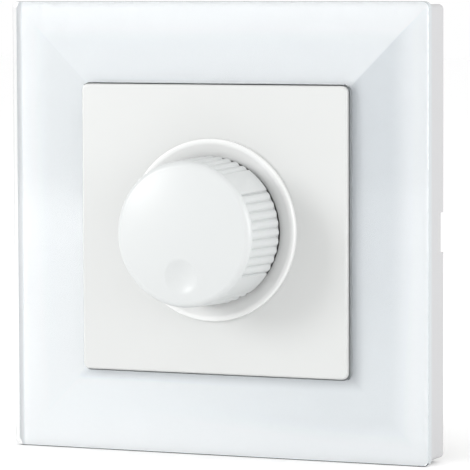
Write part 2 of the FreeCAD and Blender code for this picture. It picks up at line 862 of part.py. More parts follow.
def sector(inner, outer, y_from, y_to, middle_degrees, width_degrees):
    """Piece of a ring about the axis."""
    start = math.radians(middle_degrees - width_degrees / 2)
    middle = math.radians(middle_degrees)
    end = math.radians(middle_degrees + width_degrees / 2)

    def at(radius, angle):
        return Vector(radius * math.cos(angle), y_from, radius * math.sin(angle))

    wire = Part.Wire([
        Part.Arc(at(outer, start), at(outer, middle), at(outer, end)).toShape(),
        Part.LineSegment(at(outer, end), at(inner, end)).toShape(),
        Part.Arc(at(inner, end), at(inner, middle), at(inner, start)).toShape(),
        Part.LineSegment(at(inner, start), at(outer, start)).toShape()])
    return Part.Face(wire).extrude(Vector(0, y_to - y_from, 0))


def pot_can():
    """Round can with an inward stop that ends the rotor's travel both ways."""
    stop_middle = wiper_start_degrees + (360.0 - travel_degrees) / 2
    stop = sector(rotor_radius + stop_lug_gap, pot_inside + pot_can_wall / 2, y_rotor, y_rotor_end,
                  stop_middle, stop_lug_degrees)
    return fused(tube(pot_inside, pot_radius, y_bushing_back, y_pot_back), [stop])


def resistance_wafer():
    disc = rod(pot_radius, y_pot_back, y_wafer_back)
    tail_half = pin_pitch + pin_width / 2 + wafer_tail_margin
    tail = block(-tail_half, tail_half, y_pot_back, y_wafer_back, -pot_radius - wafer_tail, 0)
    body = fused(disc, [tail])
    body = body.cut(rod(drive_radius + wafer_hole_clear, y_pot_back - cut_spare, y_wafer_back + cut_spare))
    for k in (-1, 0, 1):
        body = body.cut(pin_hole(k * pin_pitch, pin_z, pin_width, pin_thickness, y_pot_back, y_wafer_back))
    return body


def pin_hole(x, z, width, height, y_from, y_to):
    """Hole for a flat pin through a sheet."""
    w = width / 2 + pin_gap
    h = height / 2 + pin_gap
    return block(x - w, x + w, y_from - cut_spare, y_to + cut_spare, z - h, z + h)


def pot_pins():
    pins = []
    for k in (-1, 0, 1):
        x = k * pin_pitch
        pins.append(block(x - pin_width / 2, x + pin_width / 2, y_pot_back - pin_stand,
                          y_board_back + pin_gap, pin_z - pin_thickness / 2, pin_z + pin_thickness / 2))
    return Part.makeCompound(pins)


def wiper_rotor():
    core = drive_radius + rotor_core
    disc = rod(rotor_radius, y_rotor, y_rotor_end)
    lug = sector(core, pot_inside - stop_lug_gap, y_rotor, y_rotor_end, wiper_start_degrees, stop_lug_degrees)
    groove = tube(core, rotor_radius - rotor_wall, y_rotor + rotor_wall, y_rotor_end + cut_spare)
    bore = two_flat_rod(drive_radius + running_gap, drive_across_flats + 2 * running_gap,
                        y_rotor - cut_spare, y_rotor_end + cut_spare)
    return fused(disc.cut(groove), [lug]).cut(bore)


def wiper_contact():
    """Bronze ring on the rotor's core with an arm out to the track."""
    y_end = y_rotor_end + wiper_thickness
    inner = drive_radius + rotor_core - wiper_ring_wall
    outer = drive_radius + rotor_core
    ring = tube(inner, outer, y_rotor_end, y_end)
    arm = block(outer - wiper_inset, rotor_radius - wiper_inset, y_rotor_end, y_end,
                -wiper_width / 2, wiper_width / 2)
    return fused(ring, [about_axis(arm, wiper_start_degrees)])


# Push switch behind the shaft

def switch_body():
    half = switch_side / 2
    body = block(-half, half, y_switch, y_board, -half, half)
    ends = edges_on_level(body, y_switch) + edges_on_level(body, y_board)
    upright = [edge for edge in body.Edges if not any(edge.isSame(end) for end in ends)]
    body = body.makeFillet(switch_corner_radius, upright)
    inside = half - switch_wall
    cave = block(-inside, inside, y_switch + switch_wall, y_board - switch_wall, -inside, inside)
    bore = small_hole(plunger_radius + running_gap, y_switch - cut_spare, y_switch + 2 * switch_wall)
    return body.cut(cave).cut(bore)


y_flange = y_switch + switch_wall + seat_gap
y_spring = y_flange + plunger_flange_height + seat_gap + spring_wire / 2
y_spring_end = y_board - switch_wall - seat_gap - spring_wire / 2


def switch_plunger():
    y_end = y_flange + plunger_flange_height
    stem = small_rod(plunger_radius, y_shaft_rear + pin_gap, y_end)
    return fused(stem, [small_rod(plunger_flange, y_flange, y_end)])


def spring_section(turns):
    """Section of the spring's wire after so many turns."""
    turned_by = 2 * math.pi * turns
    outward = Vector(math.cos(turned_by), 0, math.sin(turned_by))
    risen = (y_spring_end - y_spring) * turns / spring_turns
    centre = outward * spring_radius + Vector(0, y_spring + risen, 0)
    return six_sided(centre, spring_wire / 2, outward, Vector(0, 1, 0))


def return_spring():
    stations = spring_turns * spring_stations
    return Part.makeLoft([spring_section(k / spring_stations) for k in range(stations + 1)], True, True)


# Circuit board and what stands on it

def circuit_board():
    width = inner_width - 2 * board_gap
    height = inner_height - 2 * board_gap
    body = slab(rectangle(width, height), y_board, y_board_back)
    notch = boss_radius + board_notch_gap
    for sx, sz in corner_places(1, 1):
        x_low, x_high = mirrored(sx, boss_x - notch, width)
        z_low, z_high = mirrored(sz, boss_z - notch, height)
        body = body.cut(block(x_low, x_high, y_board - cut_spare, y_board_back + cut_spare, z_low, z_high))
    for k in (-1, 0, 1):
        body = body.cut(pin_hole(k * pin_pitch, pin_z, pin_width, pin_thickness, y_board, y_board_back))
        body = body.cut(pin_hole(lead_x, k * triac_lead_pitch, triac_lead, triac_lead, y_board, y_board_back))
    return body


def choke_core():
    y0 = y_board - seat_gap - choke_wire - choke_height
    y1 = y0 + choke_height
    hole = small_hole(choke_bore, y0 - cut_spare, y1 + cut_spare, sides=choke_sides)
    ring = small_rod(choke_radius, y0, y1, sides=choke_sides).cut(hole)
    rims = edges_on_level(ring, y0) + edges_on_level(ring, y1)
    ring = ring.makeChamfer(choke_edge_chamfer, rims)
    ring.translate(Vector(choke_x, 0, 0))
    return ring


def choke_winding():
    """Turns of enamelled wire, each a square loop round the core."""
    y1 = y_board - seat_gap - choke_wire + pin_gap
    y0 = y1 - choke_height - 2 * pin_gap
    inner = choke_bore - pin_gap
    outer = choke_radius + pin_gap
    start = (360.0 - choke_arc_degrees) / 2
    turns = []
    for k in range(choke_turns):
        loop = block(inner - choke_wire, outer + choke_wire, y0 - choke_wire, y1 + choke_wire,
                     -choke_wire / 2, choke_wire / 2)
        loop = loop.cut(block(inner, outer, y0, y1, -choke_wire, choke_wire))
        loop = about_axis(loop, start + (k + 0.5) * choke_arc_degrees / choke_turns)
        loop.translate(Vector(choke_x, 0, 0))
        turns.append(loop)
    return Part.makeCompound(turns)


def film_capacitors():
    boxes = []
    y1 = y_board - seat_gap
    half = capacitor_thickness / 2
    for sign in (1, -1):
        low, high = mirrored(sign, capacitor_z - half, capacitor_z + half)
        box = block(-capacitor_width / 2, capacitor_width / 2, y1 - capacitor_height, y1, low, high)
        boxes.append(box.makeChamfer(capacitor_edge_chamfer, edges_on_level(box, y1 - capacitor_height)))
    return Part.makeCompound(boxes)


def rod_along_x(radius, x_from, x_to, y, z=0.0):
    """Small rod along X."""
    shape = small_rod(radius, 0.0, x_to - x_from)
    shape.rotate(Vector(0, 0, 0), Vector(0, 0, 1), -90)
    shape.translate(Vector(x_from, y, z))
    return shape


def heat_sink():
    plate = block(sink_x, sink_x + sink_thickness, triac_case_front - triac_tab_length - board_gap,
                  y_board - seat_gap, -sink_width / 2, sink_width / 2)
    return plate.cut(rod_along_x(sink_screw_radius, sink_x - cut_spare, sink_x + sink_thickness + cut_spare,
                                 sink_screw_y))


def triac():
    half = triac_width / 2
    y_case_end = triac_case_front + triac_body_length
    tab = block(triac_back_x - triac_tab, triac_back_x, triac_case_front - triac_tab_length, y_case_end,
                -half, half)
    case = block(triac_back_x - triac_body, triac_back_x - triac_tab + let_in, triac_case_front, y_case_end,
                 -half, half)
    leads = []
    for k in (-1, 0, 1):
        z = k * triac_lead_pitch
        leads.append(block(lead_x - triac_lead / 2, lead_x + triac_lead / 2, y_case_end - let_in,
                           y_board_back + pin_gap, z - triac_lead / 2, z + triac_lead / 2))
    hole = rod_along_x(sink_screw_radius + slip_gap, triac_back_x - triac_tab - cut_spare,
                       triac_back_x + cut_spare, sink_screw_y)
    return fused(tab, [case] + leads).cut(hole)


def heat_sink_screw():
    x_seat = triac_back_x - triac_tab - seat_gap
    head = rod_along_x(sink_screw_head, x_seat - sink_screw_head_height, x_seat, sink_screw_y)
    shank = rod_along_x(sink_screw_radius - pin_gap, x_seat - let_in, sink_x + sink_thickness, sink_screw_y)
    return fused(head, [shank])


def radial_fuse():
    y1 = y_board - fuse_stand
    body = small_rod(fuse_radius, y1 - fuse_height, y1, fuse_x, fuse_z)
    body = body.makeChamfer(fuse_edge_chamfer, edges_on_level(body, y1 - fuse_height))
    lead_places = [fuse_x + side * fuse_lead_pitch / 2 for side in (1, -1)]
    leads = [small_rod(lead_radius, y1 - let_in, y_board - pin_gap, x, fuse_z) for x in lead_places]
    return fused(body, leads)


def resistor_lead(x, y_axis, z):
    """Wire that runs through a resistor and bends down to the board at both ends."""
    half = resistor_span / 2
    y_end = y_board - pin_gap
    start = Vector(x - half, y_end, z)
    path = Part.makePolygon([start, Vector(x - half, y_axis, z), Vector(x + half, y_axis, z),
                             Vector(x + half, y_end, z)])
    section = six_sided(start, lead_radius, Vector(1, 0, 0), Vector(0, 0, 1))
    return path.makePipeShell([section], True, False, 1)


def resistors():
    group = []
    y_axis = y_board - resistor_radius - part_gap
    half = resistor_length / 2
    for k in range(resistor_count):
        z = resistor_first_z - k * resistor_pitch
        body = rod_along_x(resistor_radius, resistor_x - half, resistor_x + half, y_axis, z)
        group.append(fused(body, [resistor_lead(resistor_x, y_axis, z)]))
    return Part.makeCompound(group)


# Terminals behind the board: a wire enters from the back and its screw is turned from below

def pillar_box(index, spare):
    x = terminal_x(index)
    half = pillar_width / 2 + spare
    half_length = (y_terminal_back - y_terminal_front) / 2 - terminal_wall + spare
    return block(x - half, x + half, y_terminal - half_length, y_terminal + half_length,
                 wire_z - pillar_height / 2 - spare, wire_z + pillar_height / 2 + spare)


def terminal_block():
    half = terminal_pitch * terminal_count / 2 + terminal_wall
    body = block(-half, half, y_terminal_front, y_terminal_back, terminal_z_low, terminal_z_high)
    for index in range(terminal_count):
        x = terminal_x(index)
        body = body.cut(pillar_box(index, running_gap))
        body = body.cut(small_hole(wire_entry_radius, y_terminal, y_terminal_back + cut_spare, x, wire_z))
        body = body.cut(upright_rod(well_radius, x, terminal_z_low - cut_spare, wire_z))
    return body


def terminal_pillars():
    pillars = []
    for index in range(terminal_count):
        x = terminal_x(index)
        pillar = pillar_box(index, 0.0)
        pillar = pillar.cut(small_hole(wire_bore_radius, y_terminal_front, y_terminal_back, x, wire_z))
        pillars.append(pillar.cut(upright_rod(terminal_screw_radius, x, wire_z - pillar_height, wire_z)))
    return Part.makeCompound(pillars)


def terminal_screws():
    screws = []
    z_head = -housing_height / 2 + terminal_head_sunk
    for index in range(terminal_count):
        x = terminal_x(index)
        head = upright_rod(terminal_head_radius, x, z_head, z_head + terminal_head_height)
        shank = upright_rod(terminal_screw_radius - pin_gap, x, z_head + let_in, wire_z - wire_bore_radius)
        slot = block(x - driver_slot / 2, x + driver_slot / 2,
                     y_terminal - well_radius, y_terminal + well_radius,
                     z_head - cut_spare, z_head + driver_slot_depth)
        screws.append(fused(head, [shank]).cut(slot))
    return Part.makeCompound(screws)


NODES = [
    glass_frame, frame_carrier, cover_plate, collar_ring, knob, knob_spring_clip, control_shaft,
    shaft_bushing, bushing_nut, toothed_washer, mounting_yoke, housing_lid, mechanism_housing,
    cover_screws, pot_can, resistance_wafer, pot_pins, wiper_rotor, wiper_contact, switch_body,
    switch_plunger, return_spring, circuit_board, choke_core, choke_winding, film_capacitors,
    heat_sink, triac, heat_sink_screw, radial_fuse, resistors, terminal_block, terminal_pillars,
    terminal_screws]

os.makedirs("parts", exist_ok=True)
for make in NODES:
    shape = make()
    name = make.__name__
    state = "valid" if shape.isValid() else "NOT VALID"
    print(name, len(shape.Solids), "solids", state, round(shape.Volume, 2))
    shape.exportStep("parts/" + name + ".step")
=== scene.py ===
import json
import math
from contextlib import contextmanager

import bmesh
import bpy
from mathutils import Matrix, Vector


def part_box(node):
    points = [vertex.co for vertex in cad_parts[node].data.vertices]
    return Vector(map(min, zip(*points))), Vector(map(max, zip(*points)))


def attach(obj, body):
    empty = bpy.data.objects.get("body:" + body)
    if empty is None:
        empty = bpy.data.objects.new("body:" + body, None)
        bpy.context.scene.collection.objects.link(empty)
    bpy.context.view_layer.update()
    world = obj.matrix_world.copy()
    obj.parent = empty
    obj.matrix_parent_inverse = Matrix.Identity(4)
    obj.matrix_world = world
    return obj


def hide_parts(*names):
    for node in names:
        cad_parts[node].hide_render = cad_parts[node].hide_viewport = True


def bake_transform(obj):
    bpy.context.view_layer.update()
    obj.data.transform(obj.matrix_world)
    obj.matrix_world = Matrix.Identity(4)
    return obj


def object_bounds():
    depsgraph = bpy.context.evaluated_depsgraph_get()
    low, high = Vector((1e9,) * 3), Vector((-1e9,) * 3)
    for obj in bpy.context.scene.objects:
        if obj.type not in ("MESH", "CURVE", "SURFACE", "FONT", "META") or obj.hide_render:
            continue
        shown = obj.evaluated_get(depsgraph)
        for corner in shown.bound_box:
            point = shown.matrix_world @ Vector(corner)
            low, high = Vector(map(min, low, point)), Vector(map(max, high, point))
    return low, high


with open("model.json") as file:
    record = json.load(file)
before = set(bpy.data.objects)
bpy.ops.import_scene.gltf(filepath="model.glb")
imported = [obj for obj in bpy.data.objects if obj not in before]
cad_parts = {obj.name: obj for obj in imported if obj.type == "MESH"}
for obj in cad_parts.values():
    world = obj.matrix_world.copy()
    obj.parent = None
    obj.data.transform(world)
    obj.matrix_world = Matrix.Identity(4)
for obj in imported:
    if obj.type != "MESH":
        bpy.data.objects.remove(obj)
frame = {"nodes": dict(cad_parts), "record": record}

bl_info = {
    "name": "Rotary dimmer switch",
    "version": (1, 0, 0),
    "blender": (4, 5, 0),
    "location": "View3D > Sidebar > Dimmer",
    "description": "Builds the dressed pieces of a glass-framed rotary dimmer round its CAD frame",
    "category": "Object",
}

CAD_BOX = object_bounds()
RECORD = frame["record"]
SLOT_OF = {part["node"]: part["material_slot"] for part in RECORD["subparts"]}
COLOUR_OF = {finish["slot"]: finish["base_color"][:3] for finish in RECORD["materials"]}
BODY_OF = {node: body for body, nodes in RECORD["behaviour"]["bodies"].items() for node in nodes}
MM = 0.001
NEAR = 0.02 * MM  # slack of a corner on a plane
WELD = 0.001 * MM  # corners closer than this are one
AXIS = (0.0, 1.0, 0.0)  # of the knob's turn, into the wall
SHARP = math.radians(35.0)  # edges past this angle are softened
FRONTAL = -0.9  # a normal below this along the axis looks forwards
EDGE_ON = 0.6  # one nearer to zero than this belongs to the pane's edge
FLOOR_SIZE = 6.0

# Place and size in metres, strength in watts
SOFTBOXES = {"key_softbox": ((-0.57, -0.55, 0.24), 0.30, 3.6), "fill_softbox": ((1.0, -0.15, 0.2), 0.6, 6.2)}

# Soft steps in the painted shading, highlights and shadows: the middle and half the width, in millimetres
SOFT_STEPS = {
    "mitre": (0.0, 0.25),  # from the level facets to the side ones
    "right": (-15.0, 20.0),  # up the right facet
    "low": (5.0, 30.0),  # to the right on the lower facet
    "left": (-10.0, 35.0),  # up the left facet
    "gleam": (37.5, 3.0),  # painted highlight, outwards to the pane's edges
    "rim": (-41.2, 0.3),  # painted shade, in from the left rim
    "lee_side": (0.0, 1.0),  # painted shadow, to the plate's right and lower sides
    "lee": (28.8, 1.2),  # painted shadow, away from the plate
    "painted_contact_shadow": (-42.3, 0.1),  # painted contact shadow, up from the pane's lower edge
    "edge_front": (-8.5, 0.05)}  # painted contact shadow, back from the pane's rim

# Shares of the painted highlight and the painted shade over the print
LEFT_GLEAM = 0.35  # at the foot of the left facet
OUTER_GLEAM = 0.5  # next to the outer edges
RIM_SHADE = 0.3  # behind the left rim
LEE_SHADE = 0.6  # next to the cover plate
CLOUD = 0.012  # change of tone over a moulding
GRAIN = 0.004 * MM  # height of a moulding's grain


# Sizes and colours that a user would change

def length(text, millimetres, smallest=0.0):
    """A length property, given in millimetres and kept in metres."""
    return bpy.props.FloatProperty(description=text, default=millimetres * MM, min=smallest * MM,
                                   unit="LENGTH", precision=5)


def tint(text, default):
    """A linear colour property."""
    return bpy.props.FloatVectorProperty(description=text, default=default, size=3, min=0.0, max=1.0,
                                         subtype="COLOR")


def angle(text, degrees):
    """An angle property, given in degrees."""
    return bpy.props.FloatProperty(description=text, default=math.radians(degrees), subtype="ANGLE")


def glow(text, default):
    """The strength of a finish's own light."""
    return bpy.props.FloatProperty(description=text, default=default, min=0.0)


class DimmerView(bpy.types.PropertyGroup):
    """Where the camera stands."""

    turn: angle("Camera's turn to the right of the knob's axis", 23.98)
    rise: angle("Camera's rise above the knob's axis", 4.12)
    roll: angle("Camera's roll about its own axis", -0.207)
    distance: length("From the camera to the point looked at", 685.1)
    aim_x: length("Point looked at, to the right of the knob's axis", 3.766, -1000.0)
    aim_y: length("Point looked at, into the wall", -8.7, -1000.0)
    aim_z: length("Point looked at, above the knob's axis", -0.981, -1000.0)
    lens: bpy.props.FloatProperty(description="Focal length on a 36 mm sensor, in mm", default=278.56)


class DimmerFront(bpy.types.PropertyGroup):
    """The glass frame, its carrier and the cover plate."""

    border: length("Width of the glass round the window", 15.5)
    facet_rise: length("How far the glass rises to the window", 0.4)
    glass_corner: length("Radius of the glass's outer corners", 1.3)
    glass_rim: length("Radius of the polished outer rim", 1.0)
    window_corner: length("Radius of the window's corners", 1.5)
    window_arris: length("Polished arris round the window", 0.25)
    print_gap: length("Air between the glass and the print on the carrier", 0.05)
    carrier_wall: length("Thickness of the carrier's walls and face", 1.8)
    carrier_corner: length("Radius of the carrier's corners", 1.0)
    shelf_width: length("Ledge that the cover plate rests on", 2.0)
    shelf_thickness: length("Thickness of that ledge", 1.4)
    rib_thickness: length("Thickness of the carrier's stiffening ribs", 1.2)
    rib_spread: length("From the middle rib to the outer ones", 17.0)
    notch_width: length("Width of the pry notches in the carrier's sides", 7.4)
    notch_depth: length("Depth of the pry notches from the wall", 1.35)
    plate_depth: length("From the cover plate's face to its ledge", 5.1)
    plate_face: length("Thickness of the cover plate's face", 1.6)
    plate_wall: length("Thickness of the cover plate's walls", 1.4)
    plate_corner: length("Radius of the cover plate's corners", 1.2)
    plate_edge: length("Radius of the cover plate's front edge", 0.5)
    collar_gap: length("Clearance of the collar's spigot in the plate", 0.15)
    leg_spread: length("From the middle to a snap leg", 12.0)
    leg_width: length("Width of a snap leg", 6.0)
    leg_outside: length("From the middle to the outer face of a snap leg", 25.2)
    leg_thickness: length("Thickness of a snap leg", 1.2)
    leg_root: length("How far a snap leg runs into the plate's face", 0.3)
    moulded_edge: length("Softness of the moulded edges", 0.12)


class DimmerKnob(bpy.types.PropertyGroup):
    """The fluted knob and its collar."""

    base_radius: length("Radius at the rib tips by the plate", 14.0)
    front_radius: length("Radius at the rib tips by the shoulder", 13.6)
    cap_radius: length("Radius of the shoulder over the ribs", 13.65)
    face_radius: length("Radius where the shoulder meets the dome", 12.3)
    shoulder: length("Depth of the shoulder along the axis", 1.4)
    crown: length("Rise of the dome over its edge", 1.2)
    rib_start: length("From the knob's inner end to the ribs", 0.925)
    rib_depth: length("Depth of the grooves between ribs", 0.45)
    groove_width: length("Width of the grooves at the rib tips", 1.76)
    neck: length("Radius of the neck in the collar's bore", 13.5)
    wall: length("Thickness of the fluted wall", 1.8)
    roof: length("From the dome's top to the roof inside", 4.0)
    hub: length("Radius of the hub on the shaft", 4.8)
    socket: length("Radius of the hub's socket", 3.05)
    hub_recess: length("From the knob's inner end to the hub's", 0.8)
    shaft_gap: length("Clearance ahead of the shaft's end", 0.4)
    dimple_offset: length("From the axis to the finger dimple", 7.75)
    dimple_radius: length("Radius of the finger dimple", 3.3)
    dimple_depth: length("Depth of the finger dimple", 0.75)
    collar_bore: length("Radius of the collar's bore round the knob", 13.65)
    collar_radius: length("Outer radius of the collar", 17.25)
    collar_rim: length("Width of the collar's rounded rim", 0.9)
    collar_dish: length("How far the collar falls towards the knob", 1.3)
    collar_wall: length("Thickness of the collar's spigot", 1.45)
    collar_soft: length("Radius between the collar's rim and its dish", 1.2)
    collar_seat: length("From the collar's face to the cover plate's", 1.0)
    collar_edge: length("Radius of the collar's outer edge", 0.42)
    collar_lip: length("Radius between the dish and the bore", 0.15)
    collar_arris: length("Radius at the spigot's inner end", 0.1)


class DimmerChoke(bpy.types.PropertyGroup):
    """The winding of the choke."""

    radius: length("Outer radius of the core", 6.0)
    bore: length("Radius of the core's bore", 3.2)
    wire: length("Diameter of the wire", 0.7)
    turns: bpy.props.IntProperty(description="Turns of wire", default=15, min=2)
    arc: angle("Stretch of the core that is wound", 330.0)


class DimmerTints(bpy.types.PropertyGroup):
    """Colours of the finishes, with the painted shading, highlights, shadows and glows on the print and the
    pane's edges.
    """

    plate: tint("Cover plate", (0.545, 0.553, 0.547))
    collar: tint("Collar ring", (0.665, 0.67, 0.665))
    knob: tint("Knob", (0.525, 0.54, 0.54))
    carrier: tint("Carrier behind the glass", (0.41, 0.41, 0.417))
    # Painted shading: the print takes a different tone behind each facet and towards the lower right corner
    print_painted_shading_left: tint("Print behind the left facet", (0.765, 0.793, 0.812))
    print_painted_shading_top: tint("Print behind the upper facet", (0.80, 0.828, 0.85))
    print_painted_shading_low: tint("Print behind the lower facet", (0.85, 0.88, 0.90))
    print_painted_shading_right: tint("Print behind the right facet", (0.66, 0.695, 0.725))
    print_painted_shading_foot: tint("Print at the lower right corner", (0.74, 0.775, 0.80))
    # Painted highlight near the outer edges
    print_painted_highlight: tint("Print near the outer edges", (0.97, 0.985, 1.0))
    # Painted shade behind the left rim and painted shadow of the cover plate
    print_painted_shade: tint("Print in the lee of the cover plate", (0.50, 0.53, 0.56))
    # Painted glow: the print gives off light in its own tone
    print_painted_glow: glow("Light that the glass leads to the print", 0.18)
    edge: tint("Ground edges of the pane", (0.40, 0.425, 0.44))
    # Painted contact shadow along the foot of the pane's rim
    painted_contact_shadow: tint("Ground edge under the pane's rim", (0.05, 0.055, 0.06))
    # Painted glow of the ground edges: its tone and strength
    edge_painted_glow_tone: tint("Tone of the light in the ground edges", (0.55, 0.585, 0.605))
    edge_painted_glow: glow("Light that the pane leads to its ground edges", 0.04)


# Shader expressions

class Wire:
    """A node's output socket, which takes part in Python sums and products."""

    def __init__(self, tree, socket):
        self.tree = tree
        self.socket = socket

    def node(self, kind, settings, inputs, output=0):
        """Any node: its type, its settings, and the values or links of its sockets."""
        made = self.tree.nodes.new(kind)
        for name, value in settings.items():
            setattr(made, name, value)
        for name, value in inputs.items():
            if isinstance(value, Wire):
                self.tree.links.new(value.socket, made.inputs[name])
            else:
                made.inputs[name].default_value = value
        return Wire(self.tree, made.outputs[output])

    def maths(self, operation, *values):
        """A math node's operation on the values."""
        return self.node("ShaderNodeMath", {"operation": operation}, dict(enumerate(values)))

    def __add__(self, other):
        return self.maths("ADD", self, other)

    def __mul__(self, other):
        return self.maths("MULTIPLY", self, other)

    def __sub__(self, other):
        return self.maths("SUBTRACT", self, other)

    def __rsub__(self, other):
        return self.maths("SUBTRACT", other, self)

    def __gt__(self, other):
        return self.maths("GREATER_THAN", self, other)

    def above(self, edge, softness):
        """0 below the edge and 1 past it, over a soft step."""
        return self.node("ShaderNodeMapRange", {"interpolation_type": "SMOOTHSTEP", "clamp": True},
                         {"Value": self, "From Min": edge - softness, "From Max": edge + softness})

    def rising(self, step):
        """0 below the named soft step and 1 past it."""
        middle, softness = SOFT_STEPS[step]
        return self.above(middle * MM, softness * MM)

    def falling(self, step):
        """1 below the named soft step and 0 past it."""
        return 1.0 - self.rising(step)

    def noise(self, scale, detail=2.0):
        """Even noise from 0 to 1 at a scale in cycles a metre."""
        return self.node("ShaderNodeTexNoise", {}, {"Vector": self, "Scale": scale, "Detail": detail})

    def stretched(self, x, y, z):
        """The place scaled along each axis."""
        return self.node("ShaderNodeVectorMath", {"operation": "MULTIPLY"}, {0: self, 1: (x, y, z)})

    def part(self, axis):
        """One coordinate: 0 for X, 1 for Y, 2 for Z."""
        return self.node("ShaderNodeSeparateXYZ", {}, {"Vector": self}, axis)

    def blended(self, first, second):
        """This value as the share of the second colour over the first."""
        sides = [side if isinstance(side, Wire) else opaque(side) for side in (first, second)]
        return self.node("ShaderNodeMix", {"data_type": "RGBA"}, {0: self, 6: sides[0], 7: sides[1]}, 2)

    def bumped(self, depth, strength):
        """A normal from this height, whose full range is the depth in metres."""
        return self.node("ShaderNodeBump", {}, {"Height": self, "Distance": depth, "Strength": strength})


def opaque(colour):
    """The colour with full alpha."""
    return (*colour, 1.0)


def linear(colour):
    """Linear values of a display colour."""
    return tuple(((c + 0.055) / 1.055) ** 2.4 for c in colour)


def shaded(colour, share):
    """The colour made lighter or darker by a share."""
    return tuple(min(1.0, c * share) for c in colour)


def surface(name, fixed, varying):
    """Material from constant sockets and a function of the place for the varying ones."""
    material = bpy.data.materials.new(name)
    material.use_nodes = True
    tree = material.node_tree
    shader = tree.nodes["Principled BSDF"]
    for socket, value in fixed.items():
        shader.inputs[socket].default_value = value
    place = Wire(tree, tree.nodes.new("ShaderNodeTexCoord").outputs["Object"])
    for socket, wire in varying(place).items():
        tree.links.new(wire.socket, shader.inputs[socket])
    return material


def moulded(name, colour, roughness):
    """Moulded plastic: a slight cloud in the tone and a fine even grain in the gloss."""
    def varying(place):
        cloud = place.noise(60.0)
        grains = place.noise(9000.0, 3.0)
        return {
            "Base Color": cloud.blended(shaded(colour, 1.0 - CLOUD), shaded(colour, 1.0 + CLOUD)),
            "Roughness": cloud * 0.06 + (roughness - 0.03),
            "Normal": grains.bumped(GRAIN, 0.25)}
    return surface(name, {"IOR": 1.5}, varying)


ROLLED = (0.15, 1.0, 5.0)  # fine lines along a sheet
TURNED = (0.2, 6.0, 0.2)  # tool marks across the axis


def plated(name, colour, roughness, streak=(1.0, 1.0, 1.0)):
    """Plated or bare metal: fine streaks along one axis and a cloudy gloss."""
    def varying(place):
        streaks = place.stretched(*streak).noise(2500.0, 4.0)
        cloud = place.noise(220.0)
        return {
            "Base Color": cloud.blended(shaded(colour, 0.93), shaded(colour, 1.05)),
            "Roughness": streaks * 0.16 + (roughness - 0.08),
            "Normal": streaks.bumped(0.003 * MM, 0.3)}
    return surface(name, {"Metallic": 1.0}, varying)


def laminate(name, colour, roughness):
    """Paper laminate: fibres in its face and layers at its edge."""
    def varying(place):
        fibres = place.stretched(1.0, 8.0, 0.2).noise(900.0, 4.0)
        return {
            "Base Color": fibres.blended(shaded(colour, 0.7), shaded(colour, 1.3)),
            "Roughness": fibres * 0.15 + roughness,
            "Normal": fibres.bumped(0.01 * MM, 0.4)}
    return surface(name, {}, varying)


def lacquered_board(name, colour, roughness):
    """Solder lacquer over faint tracks of copper."""
    def varying(place):
        tracks = place.stretched(1.0, 1.0, 0.35).noise(160.0, 0.0).above(0.52, 0.01)
        return {
            "Base Color": tracks.blended(colour, shaded(colour, 1.7)),
            "Roughness": place.noise(400.0) * 0.1 + roughness,
            "Normal": tracks.bumped(0.03 * MM, 0.6)}
    return surface(name, {"Coat Weight": 0.4, "Coat Roughness": 0.15}, varying)


def painted_powder(name, colour, roughness):
    """Pressed iron powder under a thick coat of paint."""
    def varying(place):
        grains = place.noise(2600.0, 3.0)
        return {
            "Base Color": grains.blended(shaded(colour, 0.85), shaded(colour, 1.1)),
            "Roughness": grains * 0.2 + roughness,
            "Normal": grains.bumped(0.03 * MM, 0.6)}
    return surface(name, {}, varying)


def enamelled(name, colour, roughness):
    """Copper wire under clear enamel."""
    def varying(place):
        cloud = place.noise(500.0)
        return {
            "Base Color": cloud.blended(shaded(colour, 0.8), shaded(colour, 1.1)),
            "Roughness": cloud * 0.1 + roughness,
            "Normal": place.noise(6000.0).bumped(0.002 * MM, 0.3)}
    return surface(name, {"Metallic": 0.9, "Coat Weight": 1.0, "Coat Roughness": 0.08}, varying)


FINISHES = {
    "spring_steel": (plated, 0.3, ROLLED), "zinc_steel": (plated, 0.32, ROLLED),
    "screw_steel": (plated, 0.3), "grey_nylon": (moulded, 0.5), "brass": (plated, 0.3, TURNED),
    "tinned_brass": (plated, 0.34, TURNED), "bronze": (plated, 0.3, ROLLED),
    "enamelled_copper": (enamelled, 0.25), "grey_moulding": (moulded, 0.5),
    "black_moulding": (moulded, 0.42), "red_moulding": (moulded, 0.4), "brown_laminate": (laminate, 0.5),
    "green_board": (lacquered_board, 0.35), "iron_powder": (painted_powder, 0.5),
    "capacitor_case": (moulded, 0.35), "aluminium": (plated, 0.38, ROLLED), "brown_case": (moulded, 0.32),
    "beige_lacquer": (painted_powder, 0.35)}


def finish_named(slot):
    """The material of a slot of the record, made once."""
    kept = bpy.data.materials.get(slot + "_finish")
    if kept:
        return kept
    make, *settings = FINISHES[slot]
    return make(slot + "_finish", linear(COLOUR_OF[slot]), *settings)


# Modelling helpers

def deselect():
    """Nothing selected and nothing active."""
    bpy.ops.object.select_all(action="DESELECT")
    bpy.context.view_layer.objects.active = None


def choose(piece):
    """Only this piece selected and active."""
    deselect()
    piece.select_set(True)
    bpy.context.view_layer.objects.active = piece


def named(name):
    """The piece just added, under its name and with its place in its mesh."""
    piece = bpy.context.object
    piece.name = name
    piece.data.name = name
    bpy.ops.object.transform_apply(location=True, rotation=True, scale=True)
    return piece


def block(name, low, high):
    """Box between two corners."""
    deselect()
    low = Vector(low)
    high = Vector(high)
    bpy.ops.mesh.primitive_cube_add(size=1.0, location=(low + high) / 2, scale=high - low)
    return named(name)


def slab(name, half, y_front, y_back, corner, steps=6):
    """Square block round the axis with its four upright edges rounded."""
    piece = block(name, (-half, y_front, -half), (half, y_back, half))
    with editing(piece):
        pick(piece, "EDGE", lambda p: True)
        unpick(piece, lambda a, b: near(a.y, b.y))
        bevelled(corner, steps)
    return piece


